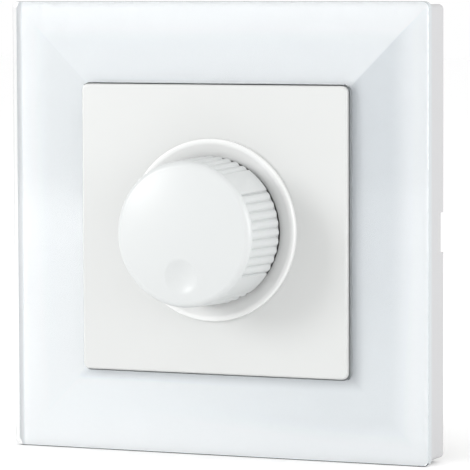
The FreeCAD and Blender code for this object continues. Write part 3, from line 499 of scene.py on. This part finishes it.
@contextmanager
def editing(piece, kind="FACE"):
    """Edit mode on the piece with nothing selected."""
    choose(piece)
    bpy.ops.object.mode_set(mode="EDIT")
    bpy.ops.mesh.select_mode(type=kind)
    bpy.ops.mesh.select_all(action="DESELECT")
    yield
    bpy.ops.object.mode_set(mode="OBJECT")


def pick(piece, kind, test):
    """In edit mode, only the corners, edges or faces whose every corner passes the test."""
    bpy.ops.mesh.select_mode(type=kind)
    bpy.ops.mesh.select_all(action="DESELECT")
    mesh = bmesh.from_edit_mesh(piece.data)
    for item in {"VERT": mesh.verts, "EDGE": mesh.edges, "FACE": mesh.faces}[kind]:
        corners = [item] if kind == "VERT" else item.verts
        if all(test(corner.co) for corner in corners):
            item.select_set(True)
    bmesh.update_edit_mesh(piece.data)


def unpick(piece, test):
    """In edit mode, the picked edges whose two ends pass the test are let go."""
    mesh = bmesh.from_edit_mesh(piece.data)
    for edge in mesh.edges:
        if test(*(corner.co for corner in edge.verts)):
            edge.select_set(False)
    bmesh.update_edit_mesh(piece.data)


def reach(p):
    """Distance from the axis to the square outline through a point."""
    return max(abs(p.x), abs(p.z))


def near(a, b):
    """Equal within the slack."""
    return abs(a - b) < NEAR


def bevelled(radius, steps):
    """In edit mode, the picked edges rounded."""
    bpy.ops.mesh.bevel(offset=radius, offset_type="OFFSET", segments=steps, affect="EDGES")


def modified(piece, kind, **settings):
    """A modifier added and applied."""
    choose(piece)
    modifier = piece.modifiers.new(kind.lower(), kind)
    for name, value in settings.items():
        setattr(modifier, name, value)
    bpy.ops.object.modifier_apply(modifier=modifier.name)


def combined(piece, other, operation):
    """The piece joined with or cut by another, which is used up."""
    modified(piece, "BOOLEAN", operation=operation, object=other, solver="EXACT")
    bpy.data.objects.remove(other, do_unlink=True)


def smoothed(piece, degrees=30.0):
    """Smooth shading with sharp edges kept, and large faces left flat."""
    choose(piece)
    bpy.ops.object.shade_smooth_by_angle(angle=math.radians(degrees))
    modified(piece, "WEIGHTED_NORMAL", keep_sharp=True, weight=100)


def weld():
    """In edit mode, everything selected and its doubles merged."""
    bpy.ops.mesh.select_all(action="SELECT")
    bpy.ops.mesh.remove_doubles(threshold=WELD)


def tidied(piece):
    """Doubles merged and normals turned outwards."""
    with editing(piece, "VERT"):
        weld()
        bpy.ops.mesh.normals_make_consistent(inside=False)


def softened(piece, width, steps=2):
    """Sharp edges rounded off."""
    modified(piece, "BEVEL", width=width, segments=steps, limit_method="ANGLE", angle_limit=SHARP,
             use_clamp_overlap=True)


def coated(piece, material):
    """The whole piece in one material."""
    piece.data.materials.clear()
    piece.data.materials.append(material)


def overlaid(piece, material, test):
    """A second material on the faces that pass the test."""
    piece.data.materials.append(material)
    for face in piece.data.polygons:
        if test(face):
            face.material_index = 1


def finish(piece, body, slot, material, *nodes):
    """The piece's material and body, and the CAD nodes that it stands for, which are hidden. The slot is not
    used.
    """
    coated(piece, material)
    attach(piece, body)
    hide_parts(*nodes)


def arc_points(corners, steps=6):
    """Profile points through (radius, level, rounding) corners, each rounding sampled as an arc."""
    points = []
    for i, (x, y, rounding) in enumerate(corners):
        here = Vector((x, y))
        if rounding == 0:
            points.append(here)
            continue
        back = (Vector(corners[i - 1][:2]) - here).normalized()
        ahead = (Vector(corners[(i + 1) % len(corners)][:2]) - here).normalized()
        half = back.angle(ahead) / 2
        run = rounding / math.tan(half)
        centre = here + (back + ahead).normalized() * (rounding / math.sin(half))
        start = here + back * run - centre
        sweep = start.angle_signed(here + ahead * run - centre)
        for k in range(steps + 1):
            turn = -sweep * k / steps
            points.append(centre + Vector((start.x * math.cos(turn) - start.y * math.sin(turn),
                                           start.x * math.sin(turn) + start.y * math.cos(turn))))
    return points


def lathe(name, corners, segments):
    """Closed profile drawn by extruding a corner, then spun about the Y axis."""
    points = arc_points(corners)
    deselect()
    bpy.ops.mesh.primitive_plane_add(size=MM, location=(points[0].x, points[0].y, 0.0))
    piece = named(name)
    with editing(piece, "VERT"):
        bpy.ops.mesh.select_all(action="SELECT")
        bpy.ops.mesh.merge(type="CENTER")
        for before, after in zip(points, points[1:] + points[:1]):
            step = after - before
            bpy.ops.mesh.extrude_region_move(TRANSFORM_OT_translate={"value": (step.x, step.y, 0.0)})
        weld()
        bpy.ops.mesh.spin(steps=segments, angle=math.tau, center=(0.0, 0.0, 0.0), axis=AXIS)
    tidied(piece)
    return piece


# The operators

class DIMMER_OT_stage(bpy.types.Operator):
    """Pale floor, soft studio light and the camera"""

    bl_idname = "dimmer.stage"
    bl_label = "Stage"

    def execute(self, context):
        self.floor()
        self.lights(context)
        self.camera(context)
        return {"FINISHED"}

    def floor(self):
        """White floor that the frame's lower side stands on."""
        deselect()
        bpy.ops.mesh.primitive_plane_add(size=FLOOR_SIZE, location=(0.0, 0.0, CAD_BOX[0][2]))
        ground = named("pale_floor")
        paper = surface("pale_floor", {"Base Color": opaque((0.99, 0.99, 0.99))},
                        lambda place: {"Roughness": place.noise(40.0) * 0.1 + 0.85})
        ground.data.materials.append(paper)

    def lights(self, context):
        """Even white surroundings, and softboxes that face the object."""
        world = bpy.data.worlds.new("white_studio")
        world.use_nodes = True
        world.node_tree.nodes["Background"].inputs["Color"].default_value = (1.0, 1.0, 1.0, 1.0)
        context.scene.world = world
        context.scene.view_settings.view_transform = "Standard"
        for name, (place, size, watts) in SOFTBOXES.items():
            light = bpy.data.lights.new(name, "AREA")
            light.size = size
            light.energy = watts
            softbox = bpy.data.objects.new(name, light)
            context.collection.objects.link(softbox)
            softbox.location = place
            softbox.rotation_euler = (-Vector(place)).to_track_quat("-Z", "Y").to_euler()

    def camera(self, context):
        """Camera at the photograph's place."""
        view = context.scene.dimmer_view
        away = Vector((math.sin(view.turn) * math.cos(view.rise), -math.cos(view.turn) * math.cos(view.rise),
                       math.sin(view.rise)))
        aim = Vector((view.aim_x, view.aim_y, view.aim_z))
        level = Vector((math.cos(view.turn), math.sin(view.turn), 0.0))
        upright = away.cross(level)
        right = math.cos(view.roll) * level + math.sin(view.roll) * upright
        up = math.cos(view.roll) * upright - math.sin(view.roll) * level
        turned = Matrix((right, up, away)).transposed().to_4x4()
        data = bpy.data.cameras.new("photo_camera")
        data.lens = view.lens
        camera = bpy.data.objects.new("photo_camera", data)
        context.collection.objects.link(camera)
        camera.matrix_world = Matrix.Translation(aim + away * view.distance) @ turned
        context.scene.camera = camera


class DIMMER_OT_glass(bpy.types.Operator):
    """Clear glass frame with four facets and a polished rim"""

    bl_idname = "dimmer.glass"
    bl_label = "Glass frame"

    def execute(self, context):
        front = context.scene.dimmer_front
        low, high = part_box("glass_frame")
        y_front = low.y + front.facet_rise
        y_back = high.y - front.print_gap
        half = high.x
        window = half - front.border
        slope = front.facet_rise / front.border
        glass = slab("clear_glass_frame", half, low.y - front.facet_rise, y_back, front.glass_corner)
        with editing(glass):
            for x, z in ((1, 0), (0, 1), (-1, 0), (0, -1)):
                bpy.ops.mesh.select_all(action="SELECT")
                bpy.ops.mesh.bisect(plane_co=(x * half, y_front, z * half),
                                    plane_no=(x * slope, -1.0, z * slope),
                                    use_fill=True, clear_outer=True, threshold=WELD)
            rim = half - front.glass_corner
            pick(glass, "EDGE", lambda p: p.y < y_back - NEAR and reach(p) > rim)
            unpick(glass, lambda a, b: abs(a.y - b.y) > front.glass_corner * slope)
            bevelled(front.glass_rim, steps=8)
        combined(glass, slab("window", window, low.y - MM, high.y + MM, front.window_corner), "DIFFERENCE")
        with editing(glass):
            pick(glass, "EDGE", lambda p: p.y < y_front - front.facet_rise / 2 and reach(p) < window + NEAR)
            bevelled(front.window_arris, steps=2)
            pick(glass, "EDGE", lambda p: near(p.y, y_back))
            bevelled(front.window_arris / 2, steps=1)
        smoothed(glass)
        finish(glass, "base", "clear_glass", self.glass(), "glass_frame")
        edge = self.ground_edge_and_painted_light(context.scene.dimmer_tints)
        overlaid(glass, edge, lambda face: abs(face.normal.y) < EDGE_ON)
        return {"FINISHED"}

    def glass(self):
        """Clear float glass with a faint cool tint."""
        return surface("clear_glass",
                       {"Base Color": opaque((0.995, 1.0, 1.0)), "IOR": 1.5, "Transmission Weight": 1.0},
                       lambda place: {"Roughness": place.noise(300.0) * 0.012})

    def ground_edge_and_painted_light(self, tints):
        """Finely ground edge, with a painted glow in place of the light that the pane leads into it, and a
        painted contact shadow at its foot.
        """
        def varying(place):
            grains = place.noise(7000.0)
            # Painted contact shadow: the edge faces low down at the front are made dark
            painted_contact_shadow_mask = place.part(2).falling("painted_contact_shadow") * place.part(1).falling("edge_front")
            return {"Base Color": painted_contact_shadow_mask.blended(tints.edge, tints.painted_contact_shadow),
                    "Roughness": grains * 0.1 + 0.25, "Normal": grains.bumped(GRAIN, 0.3)}
        # The ground edges glow with a painted light of their own
        return surface("ground_glass_edge_and_painted_light", {"IOR": 1.5, "Coat Weight": 0.5, "Coat Roughness": 0.1,
                                             "Emission Color": opaque(tints.edge_painted_glow_tone),
                                             "Emission Strength": tints.edge_painted_glow}, varying)


class DIMMER_OT_carrier(bpy.types.Operator):
    """Moulded carrier with the print that shows through the glass, and painted light and shade in that print
    """

    bl_idname = "dimmer.carrier"
    bl_label = "Carrier"

    def execute(self, context):
        front = context.scene.dimmer_front
        low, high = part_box("frame_carrier")
        wall = front.carrier_wall
        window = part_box("glass_frame")[1].x - front.border
        y_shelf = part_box("cover_plate")[0].y + front.plate_depth
        y_shelf_back = y_shelf + front.shelf_thickness
        y_hollow = low.y + wall
        core = window + wall
        carrier = slab("white_frame_carrier", high.x, low.y, high.y, front.carrier_corner)
        hollow = slab("hollow", high.x - wall, y_hollow, high.y + wall, wall / 2)
        combined(hollow, slab("core", core, y_hollow - wall, y_shelf_back, wall / 2), "DIFFERENCE")
        combined(carrier, hollow, "DIFFERENCE")
        combined(carrier, slab("recess", window, low.y - wall, y_shelf, front.window_corner), "DIFFERENCE")
        opening = window - front.shelf_width
        combined(carrier, slab("opening", opening, low.y - wall, high.y + wall, wall / 2), "DIFFERENCE")
        self.ribs(carrier, front, high.x - wall / 2, window + wall / 2, y_hollow, y_shelf_back)
        self.notches(carrier, front, high)
        softened(carrier, front.moulded_edge)
        smoothed(carrier)
        tints = context.scene.dimmer_tints
        finish(carrier, "base", "white_carrier", moulded("carrier_moulding", tints.carrier, 0.42),
               "frame_carrier")
        overlaid(carrier, self.printed(tints),
                 lambda face: near(face.center.y, low.y) and face.normal.y < FRONTAL)
        return {"FINISHED"}

    def ribs(self, carrier, front, far, close, y_root, y_end):
        """Stiffening ribs round the window's wall, three on each side."""
        half = front.rib_thickness / 2
        for place in (-front.rib_spread, 0.0, front.rib_spread):
            for side in (-1, 1):
                start, end = sorted((side * close, side * far))
                for (x_low, z_low), (x_high, z_high) in (((start, place - half), (end, place + half)),
                                                         ((place - half, start), (place + half, end))):
                    rib = block("rib", (x_low, y_root - half, z_low), (x_high, y_end, z_high))
                    combined(carrier, rib, "UNION")

    def notches(self, carrier, front, high):
        """Pry notches in the middle of the side walls."""
        half = front.notch_width / 2
        past = 1.5 * front.carrier_wall
        for side in (-1, 1):
            notch = block("notch", (side * high.x - past, high.y - front.notch_depth, -half),
                          (side * high.x + past, high.y + front.carrier_wall, half))
            combined(carrier, notch, "DIFFERENCE")

    def printed(self, tints):
        """Lacquer print behind the glass, with painted shading in a tone for each facet, painted highlights
        and shade near the edges, a painted shadow of the cover plate and a painted glow.
        """
        def varying(place):
            x = place.part(0)
            z = place.part(2)
            across = x.maths("ABSOLUTE", x)
            tall = z.maths("ABSOLUTE", z)
            out = across.maths("MAXIMUM", across, tall)
            # Painted shading: a tone for each facet, graded up the right and left facets and along the lower
            # one, with a painted highlight at the foot of the left facet
            right = z.rising("right").blended(tints.print_painted_shading_foot, tints.print_painted_shading_right)
            low = x.rising("low").blended(tints.print_painted_shading_low, tints.print_painted_shading_foot)
            left = (z.falling("left") * LEFT_GLEAM).blended(tints.print_painted_shading_left, tints.print_painted_highlight)
            rightwards = (x > 0.0).blended(left, right)
            upwards = (z > 0.0).blended(low, tints.print_painted_shading_top)
            tone = (across - tall).rising("mitre").blended(upwards, rightwards)
            # Painted highlight towards the outer edges
            tone = (out.rising("gleam") * OUTER_GLEAM).blended(tone, tints.print_painted_highlight)
            # Painted shade in from the left rim
            tone = (x.falling("rim") * RIM_SHADE).blended(tone, tints.print_painted_shade)
            # Painted shadow of the cover plate on its right and lower sides
            lee = (x - z).rising("lee_side") * out.falling("lee")
            tone = (lee * LEE_SHADE).blended(tone, tints.print_painted_shade)
            # The print glows in its own tone: a painted glow
            return {"Base Color": tone, "Emission Color": tone, "Roughness": place.noise(80.0) * 0.06 + 0.35}
        return surface("lacquer_print_and_painted_light", {"IOR": 1.45, "Emission Strength": tints.print_painted_glow}, varying)


class DIMMER_OT_cover_plate(bpy.types.Operator):
    """White cover plate with its walls, snap legs and bore"""

    bl_idname = "dimmer.cover_plate"
    bl_label = "Cover plate"

    DRILL = 10 * MM  # long enough to pass the plate's face

    def execute(self, context):
        front = context.scene.dimmer_front
        knob = context.scene.dimmer_knob
        low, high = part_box("cover_plate")
        half = high.x
        y_ledge = low.y + front.plate_depth
        y_inside = low.y + front.plate_face
        plate = slab("white_cover_plate", half, low.y, y_ledge, front.plate_corner, steps=8)
        with editing(plate):
            pick(plate, "EDGE", lambda p: near(p.y, low.y))
            bevelled(front.plate_edge, steps=5)
        hollow = slab("hollow", half - front.plate_wall, y_inside, y_ledge + MM, front.plate_wall / 2)
        combined(plate, hollow, "DIFFERENCE")
        bore = knob.collar_bore + knob.collar_wall + front.collar_gap
        deselect()
        bpy.ops.mesh.primitive_cylinder_add(vertices=128, radius=bore, depth=self.DRILL,
                                            location=(0.0, low.y, 0.0), rotation=(math.pi / 2, 0.0, 0.0))
        combined(plate, named("bore"), "DIFFERENCE")
        self.legs(plate, front, y_inside, high.y)
        softened(plate, front.moulded_edge)
        smoothed(plate)
        finish(plate, "base", "white_plate", moulded("plate_moulding", context.scene.dimmer_tints.plate, 0.3),
               "cover_plate")
        return {"FINISHED"}

    def legs(self, plate, front, y_root, y_end):
        """Four snap legs that run back through the yoke."""
        half = front.leg_width / 2
        inside = front.leg_outside - front.leg_thickness
        for side in (-1, 1):
            z_low, z_high = sorted((side * inside, side * front.leg_outside))
            for place in (-front.leg_spread, front.leg_spread):
                leg = block("leg", (place - half, y_root - front.leg_root, z_low),
                            (place + half, y_end, z_high))
                combined(plate, leg, "UNION")


class DIMMER_OT_collar(bpy.types.Operator):
    """Dished collar ring round the knob"""

    bl_idname = "dimmer.collar"
    bl_label = "Collar"

    def execute(self, context):
        knob = context.scene.dimmer_knob
        low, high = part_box("collar_ring")
        y_plate = low.y + knob.collar_seat
        outer = knob.collar_radius
        bore = knob.collar_bore
        spigot = bore + knob.collar_wall
        collar = lathe("white_collar_ring", [
            (outer, y_plate, 0.0), (outer, low.y, knob.collar_edge),
            (outer - knob.collar_rim, low.y, knob.collar_soft),
            (bore, low.y + knob.collar_dish, knob.collar_lip),
            (bore, high.y, knob.collar_arris), (spigot, high.y, knob.collar_arris),
            (spigot, y_plate, 0.0)], segments=192)
        smoothed(collar, degrees=40.0)
        finish(collar, "base", "white_plate",
               moulded("collar_moulding", context.scene.dimmer_tints.collar, 0.24), "collar_ring")
        return {"FINISHED"}


class DIMMER_OT_knob(bpy.types.Operator):
    """Fluted push knob with a rounded shoulder, a dome and a finger dimple"""

    bl_idname = "dimmer.knob"
    bl_label = "Knob"

    AROUND = 480  # columns of corners round the knob
    RIB_GROUPS = 4
    RIB_STEPS = 10  # columns from one groove to the next
    RIBBED = 9 * RIB_STEPS  # columns of a ribbed group
    LAND = 0.05 * MM  # between the ribs and the shoulder
    SHOULDER_STEPS = 9
    DOME_STEP = 0.25 * MM  # from one ring of the dome to the next
    PINHOLE = 0.1 * MM  # ring small enough to be closed to a point
    SMOOTH_MARGIN = 0.8 * MM  # smoothing round the dimple, past its edge
    SMOOTH_DEPTH = 1.2 * MM  # and behind the dome's face

    def execute(self, context):
        knob = context.scene.dimmer_knob
        low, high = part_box("knob")
        y_start = high.y - knob.rib_start
        y_ribs = low.y + knob.crown + knob.shoulder
        ball = (knob.face_radius ** 2 + knob.crown ** 2) / (2 * knob.crown)
        deselect()
        bpy.ops.mesh.primitive_circle_add(vertices=self.AROUND, radius=knob.base_radius,
                                          location=(0.0, y_start, 0.0), rotation=(math.pi / 2, 0.0, 0.0))
        piece = named("fluted_knob")
        self.flute(piece, knob, y_start)
        with editing(piece, "EDGE"):
            bpy.ops.mesh.select_all(action="SELECT")
            self.outside(piece, knob, y_start, y_ribs, low.y, ball)
            bpy.ops.mesh.select_all(action="DESELECT")
            bpy.ops.mesh.select_mode(type="EDGE")
            bpy.ops.mesh.select_non_manifold(extend=False)
            self.inside(piece, knob, y_start, y_ribs, low.y, high.y)
        self.dimple(piece, knob, low.y, ball)
        tidied(piece)
        smoothed(piece, degrees=32.0)
        finish(piece, "knob", "white_knob", moulded("knob_moulding", context.scene.dimmer_tints.knob, 0.34),
               "knob")
        return {"FINISHED"}

    def outside(self, piece, knob, y_start, y_ribs, y_top, ball):
        """Fluted wall, shoulder and dome, from the selected ring to the front."""
        here = [y_start, knob.base_radius]
        self.ring(here, y_ribs, knob.front_radius)
        self.rounded(piece, here, knob.cap_radius)
        self.ring(here, y_ribs - self.LAND, knob.cap_radius)
        for k in range(1, self.SHOULDER_STEPS + 1):
            turn = math.pi / 2 * k / self.SHOULDER_STEPS
            self.ring(here, y_ribs - knob.shoulder * math.sin(turn),
                      knob.face_radius + (knob.cap_radius - knob.face_radius) * math.cos(turn))
        radius = knob.face_radius - self.DOME_STEP
        while radius > self.PINHOLE:
            self.ring(here, y_top + ball - math.sqrt(ball ** 2 - radius ** 2), radius)
            radius -= self.DOME_STEP
        bpy.ops.mesh.merge(type="CENTER")

    def inside(self, piece, knob, y_start, y_ribs, y_top, y_base):
        """Neck, hollow, hub and socket, from the selected ring inwards."""
        here = [y_start, knob.base_radius]
        self.rounded(piece, here, knob.neck)
        y_roof = y_top + knob.roof
        y_hub = y_base - knob.hub_recess
        y_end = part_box("control_shaft")[0].y - knob.shaft_gap
        for y, radius in ((y_base, knob.neck), (y_base, knob.base_radius - knob.wall),
                          (y_ribs, knob.front_radius - knob.wall), (y_roof, knob.face_radius - knob.wall),
                          (y_roof, knob.hub), (y_hub, knob.hub), (y_hub, knob.socket),
                          (y_end, knob.socket), (y_end, self.PINHOLE)):
            self.ring(here, y, radius)
        bpy.ops.mesh.merge(type="CENTER")

    def flute(self, piece, knob, y):
        """Grooves pressed in between the ribs, column by column."""
        half = knob.groove_width / 2
        bulge = (knob.rib_depth ** 2 + half ** 2) / (2 * knob.rib_depth)
        with editing(piece, "VERT"):
            for k in range(self.RIB_STEPS // 2):
                share = 1.0 - k / (self.RIB_STEPS / 2)
                inset = bulge - math.sqrt(bulge ** 2 - (half * share) ** 2)
                pick(piece, "VERT", lambda p: self.from_groove(p) == k)
                factor = 1.0 - inset / knob.base_radius
                bpy.ops.transform.resize(value=(factor, 1.0, factor), center_override=(0.0, y, 0.0))

    def from_groove(self, p):
        """Columns from a corner to the nearest groove, or None between the ribbed groups."""
        group = 360.0 / self.RIB_GROUPS
        column = 360.0 / self.AROUND
        turn = math.degrees(math.atan2(p.z, p.x)) % group
        step = round(((turn + group / 2) % group - group / 2 + self.RIBBED * column / 2) / column)
        if 0 <= step <= self.RIBBED:
            return min(step % self.RIB_STEPS, -step % self.RIB_STEPS)
        return None

    def rounded(self, piece, here, radius):
        """The selected ring doubled, and the new one brought to a circle."""
        bpy.ops.mesh.extrude_region_move()
        bpy.ops.transform.tosphere(value=1.0, center_override=(0.0, here[0], 0.0))
        mesh = bmesh.from_edit_mesh(piece.data)
        corner = next(v for v in mesh.verts if v.select)
        here[1] = math.hypot(corner.co.x, corner.co.z)
        self.resize(here, radius)

    def resize(self, here, radius):
        """The selected ring brought to a radius."""
        factor = radius / here[1]
        bpy.ops.transform.resize(value=(factor, 1.0, factor), center_override=(0.0, here[0], 0.0))
        here[1] = radius

    def ring(self, here, y, radius):
        """The selected ring extruded to a new level and radius."""
        bpy.ops.mesh.extrude_region_move(TRANSFORM_OT_translate={"value": (0.0, y - here[0], 0.0)})
        here[0] = y
        if radius != here[1]:
            self.resize(here, radius)

    def dimple(self, piece, knob, y_top, ball):
        """Finger dimple pressed square to the dome, with a soft edge."""
        y_here = y_top + ball - math.sqrt(ball ** 2 - knob.dimple_offset ** 2)
        middle = Vector((0.0, y_here, -knob.dimple_offset))
        tilt = math.asin(knob.dimple_offset / ball)
        with editing(piece, "VERT"):
            mesh = bmesh.from_edit_mesh(piece.data)
            closest = min(mesh.verts, key=lambda v: (v.co - middle).length)
            closest.select_set(True)
            bmesh.update_edit_mesh(piece.data)
            press = knob.dimple_depth
            bpy.ops.transform.translate(
                value=(0.0, press * math.cos(tilt), press * math.sin(tilt)), use_proportional_edit=True,
                proportional_edit_falloff="INVERSE_SQUARE", proportional_size=knob.dimple_radius,
                use_proportional_connected=True)
            zone = knob.dimple_radius + self.SMOOTH_MARGIN
            y_deep = y_here + self.SMOOTH_DEPTH
            pick(piece, "VERT", lambda p: (p - middle).length < zone and p.y < y_deep)
            bpy.ops.mesh.vertices_smooth(factor=0.5, repeat=5)


def copied(node):
    """Copy of a CAD node with its flat faces joined."""
    piece = bpy.data.objects.new(node + "_dressed", frame["nodes"][node].data.copy())
    bpy.context.collection.objects.link(piece)
    with editing(piece, "VERT"):
        weld()
        bpy.ops.mesh.dissolve_limited(angle_limit=math.radians(1.0))
    return piece


def dressed(node, width, steps=2):
    """Finished copy of a CAD node, its edges softened by a width in millimetres."""
    piece = copied(node)
    softened(piece, width * MM, steps)
    smoothed(piece)
    finish(piece, BODY_OF[node], SLOT_OF[node], finish_named(SLOT_OF[node]), node)


class DIMMER_OT_fixings(bpy.types.Operator):
    """Shaft, bushing, nut, washer, yoke and screws"""

    bl_idname = "dimmer.fixings"
    bl_label = "Fixings"

    def execute(self, context):
        for node in ("control_shaft", "shaft_bushing", "bushing_nut", "mounting_yoke"):
            dressed(node, 0.12)
        for node in ("toothed_washer", "cover_screws", "terminal_screws", "heat_sink_screw"):
            dressed(node, 0.06)
        dressed("knob_spring_clip", 0.04)
        return {"FINISHED"}


class DIMMER_OT_enclosure(bpy.types.Operator):
    """Moulded housing and its lid"""

    bl_idname = "dimmer.enclosure"
    bl_label = "Enclosure"

    def execute(self, context):
        dressed("mechanism_housing", 0.2, steps=3)
        dressed("housing_lid", 0.12)
        return {"FINISHED"}


class DIMMER_OT_electrics(bpy.types.Operator):
    """Potentiometer, switch, board and what stands on it"""

    bl_idname = "dimmer.electrics"
    bl_label = "Electrics"

    def execute(self, context):
        for node in ("pot_can", "wiper_rotor", "switch_body", "switch_plunger", "choke_core",
                     "film_capacitors", "triac", "radial_fuse", "resistors", "terminal_block",
                     "terminal_pillars"):
            dressed(node, 0.1)
        for node in ("resistance_wafer", "pot_pins", "wiper_contact", "circuit_board", "heat_sink"):
            dressed(node, 0.05)
        self.return_spring()
        return {"FINISHED"}

    def return_spring(self):
        """Coil spring that stays on its seat, a smooth-shaded copy of the CAD node in spring steel."""
        spring = copied("return_spring")
        smoothed(spring, degrees=70.0)
        coated(spring, finish_named("spring_steel"))
        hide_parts("return_spring")
        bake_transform(spring)


class DIMMER_OT_winding(bpy.types.Operator):
    """Round enamelled wire wound on the choke's core"""

    bl_idname = "dimmer.winding"
    bl_label = "Choke winding"

    def execute(self, context):
        choke = context.scene.dimmer_choke
        low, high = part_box("choke_core")
        centre = (low + high) / 2
        half_width = (choke.radius - choke.bore + choke.wire) / 2
        half_height = (high.y - low.y + choke.wire) / 2
        bend = choke.wire
        around = 24
        deselect()
        bpy.ops.mesh.primitive_torus_add(major_radius=bend, minor_radius=choke.wire / 2 - NEAR,
                                         major_segments=around, minor_segments=10,
                                         rotation=(0.0, 0.0, math.pi / around))
        piece = named("round_choke_winding")
        middle = Vector((centre.x + (choke.radius + choke.bore) / 2, centre.y, 0.0))
        with editing(piece, "VERT"):
            for side in (-1, 1):
                pick(piece, "VERT", lambda p: side * p.x > 0)
                bpy.ops.transform.translate(value=(side * (half_width - bend), 0.0, 0.0))
                pick(piece, "VERT", lambda p: side * p.y > 0)
                bpy.ops.transform.translate(value=(0.0, side * (half_height - bend), 0.0))
            bpy.ops.mesh.select_all(action="SELECT")
            bpy.ops.transform.translate(value=middle)
            hub = (centre.x, centre.y, 0.0)
            step = choke.arc / choke.turns
            bpy.ops.transform.rotate(value=(math.tau - choke.arc + step) / 2, orient_axis="Y",
                                     center_override=hub)
            bpy.ops.mesh.spin(steps=choke.turns - 1, angle=step * (choke.turns - 1), dupli=True,
                              center=hub, axis=AXIS)
        smoothed(piece, degrees=60.0)
        finish(piece, "base", "enamelled_copper", finish_named("enamelled_copper"), "choke_winding")
        return {"FINISHED"}


class DIMMER_PT_sidebar(bpy.types.Panel):
    """Buttons that build the pieces"""

    bl_idname = "DIMMER_PT_sidebar"
    bl_label = "Dimmer"
    bl_space_type = "VIEW_3D"
    bl_region_type = "UI"
    bl_category = "Dimmer"

    def draw(self, context):
        for holder, group in GROUPS.items():
            values = getattr(context.scene, holder)
            for name in group.__annotations__:
                self.layout.prop(values, name, text=name.replace("_", " ").capitalize())
        for operator in OPERATORS:
            self.layout.operator(operator.bl_idname)


GROUPS = {"dimmer_view": DimmerView, "dimmer_front": DimmerFront, "dimmer_knob": DimmerKnob,
          "dimmer_choke": DimmerChoke, "dimmer_tints": DimmerTints}
OPERATORS = (DIMMER_OT_stage, DIMMER_OT_glass, DIMMER_OT_carrier, DIMMER_OT_cover_plate, DIMMER_OT_collar,
             DIMMER_OT_knob, DIMMER_OT_fixings, DIMMER_OT_enclosure, DIMMER_OT_electrics, DIMMER_OT_winding)
CLASSES = (*GROUPS.values(), *OPERATORS, DIMMER_PT_sidebar)


def register():
    for cls in CLASSES:
        bpy.utils.register_class(cls)
    for holder, group in GROUPS.items():
        setattr(bpy.types.Scene, holder, bpy.props.PointerProperty(type=group))


def unregister():
    for holder in GROUPS:
        delattr(bpy.types.Scene, holder)
    for cls in reversed(CLASSES):
        bpy.utils.unregister_class(cls)


def main():
    register()
    bpy.ops.dimmer.stage()
    bpy.ops.dimmer.glass()
    bpy.ops.dimmer.carrier()
    bpy.ops.dimmer.cover_plate()
    bpy.ops.dimmer.collar()
    bpy.ops.dimmer.knob()
    bpy.ops.dimmer.fixings()
    bpy.ops.dimmer.enclosure()
    bpy.ops.dimmer.electrics()
    bpy.ops.dimmer.winding()


if __name__ == "__main__":
    main()
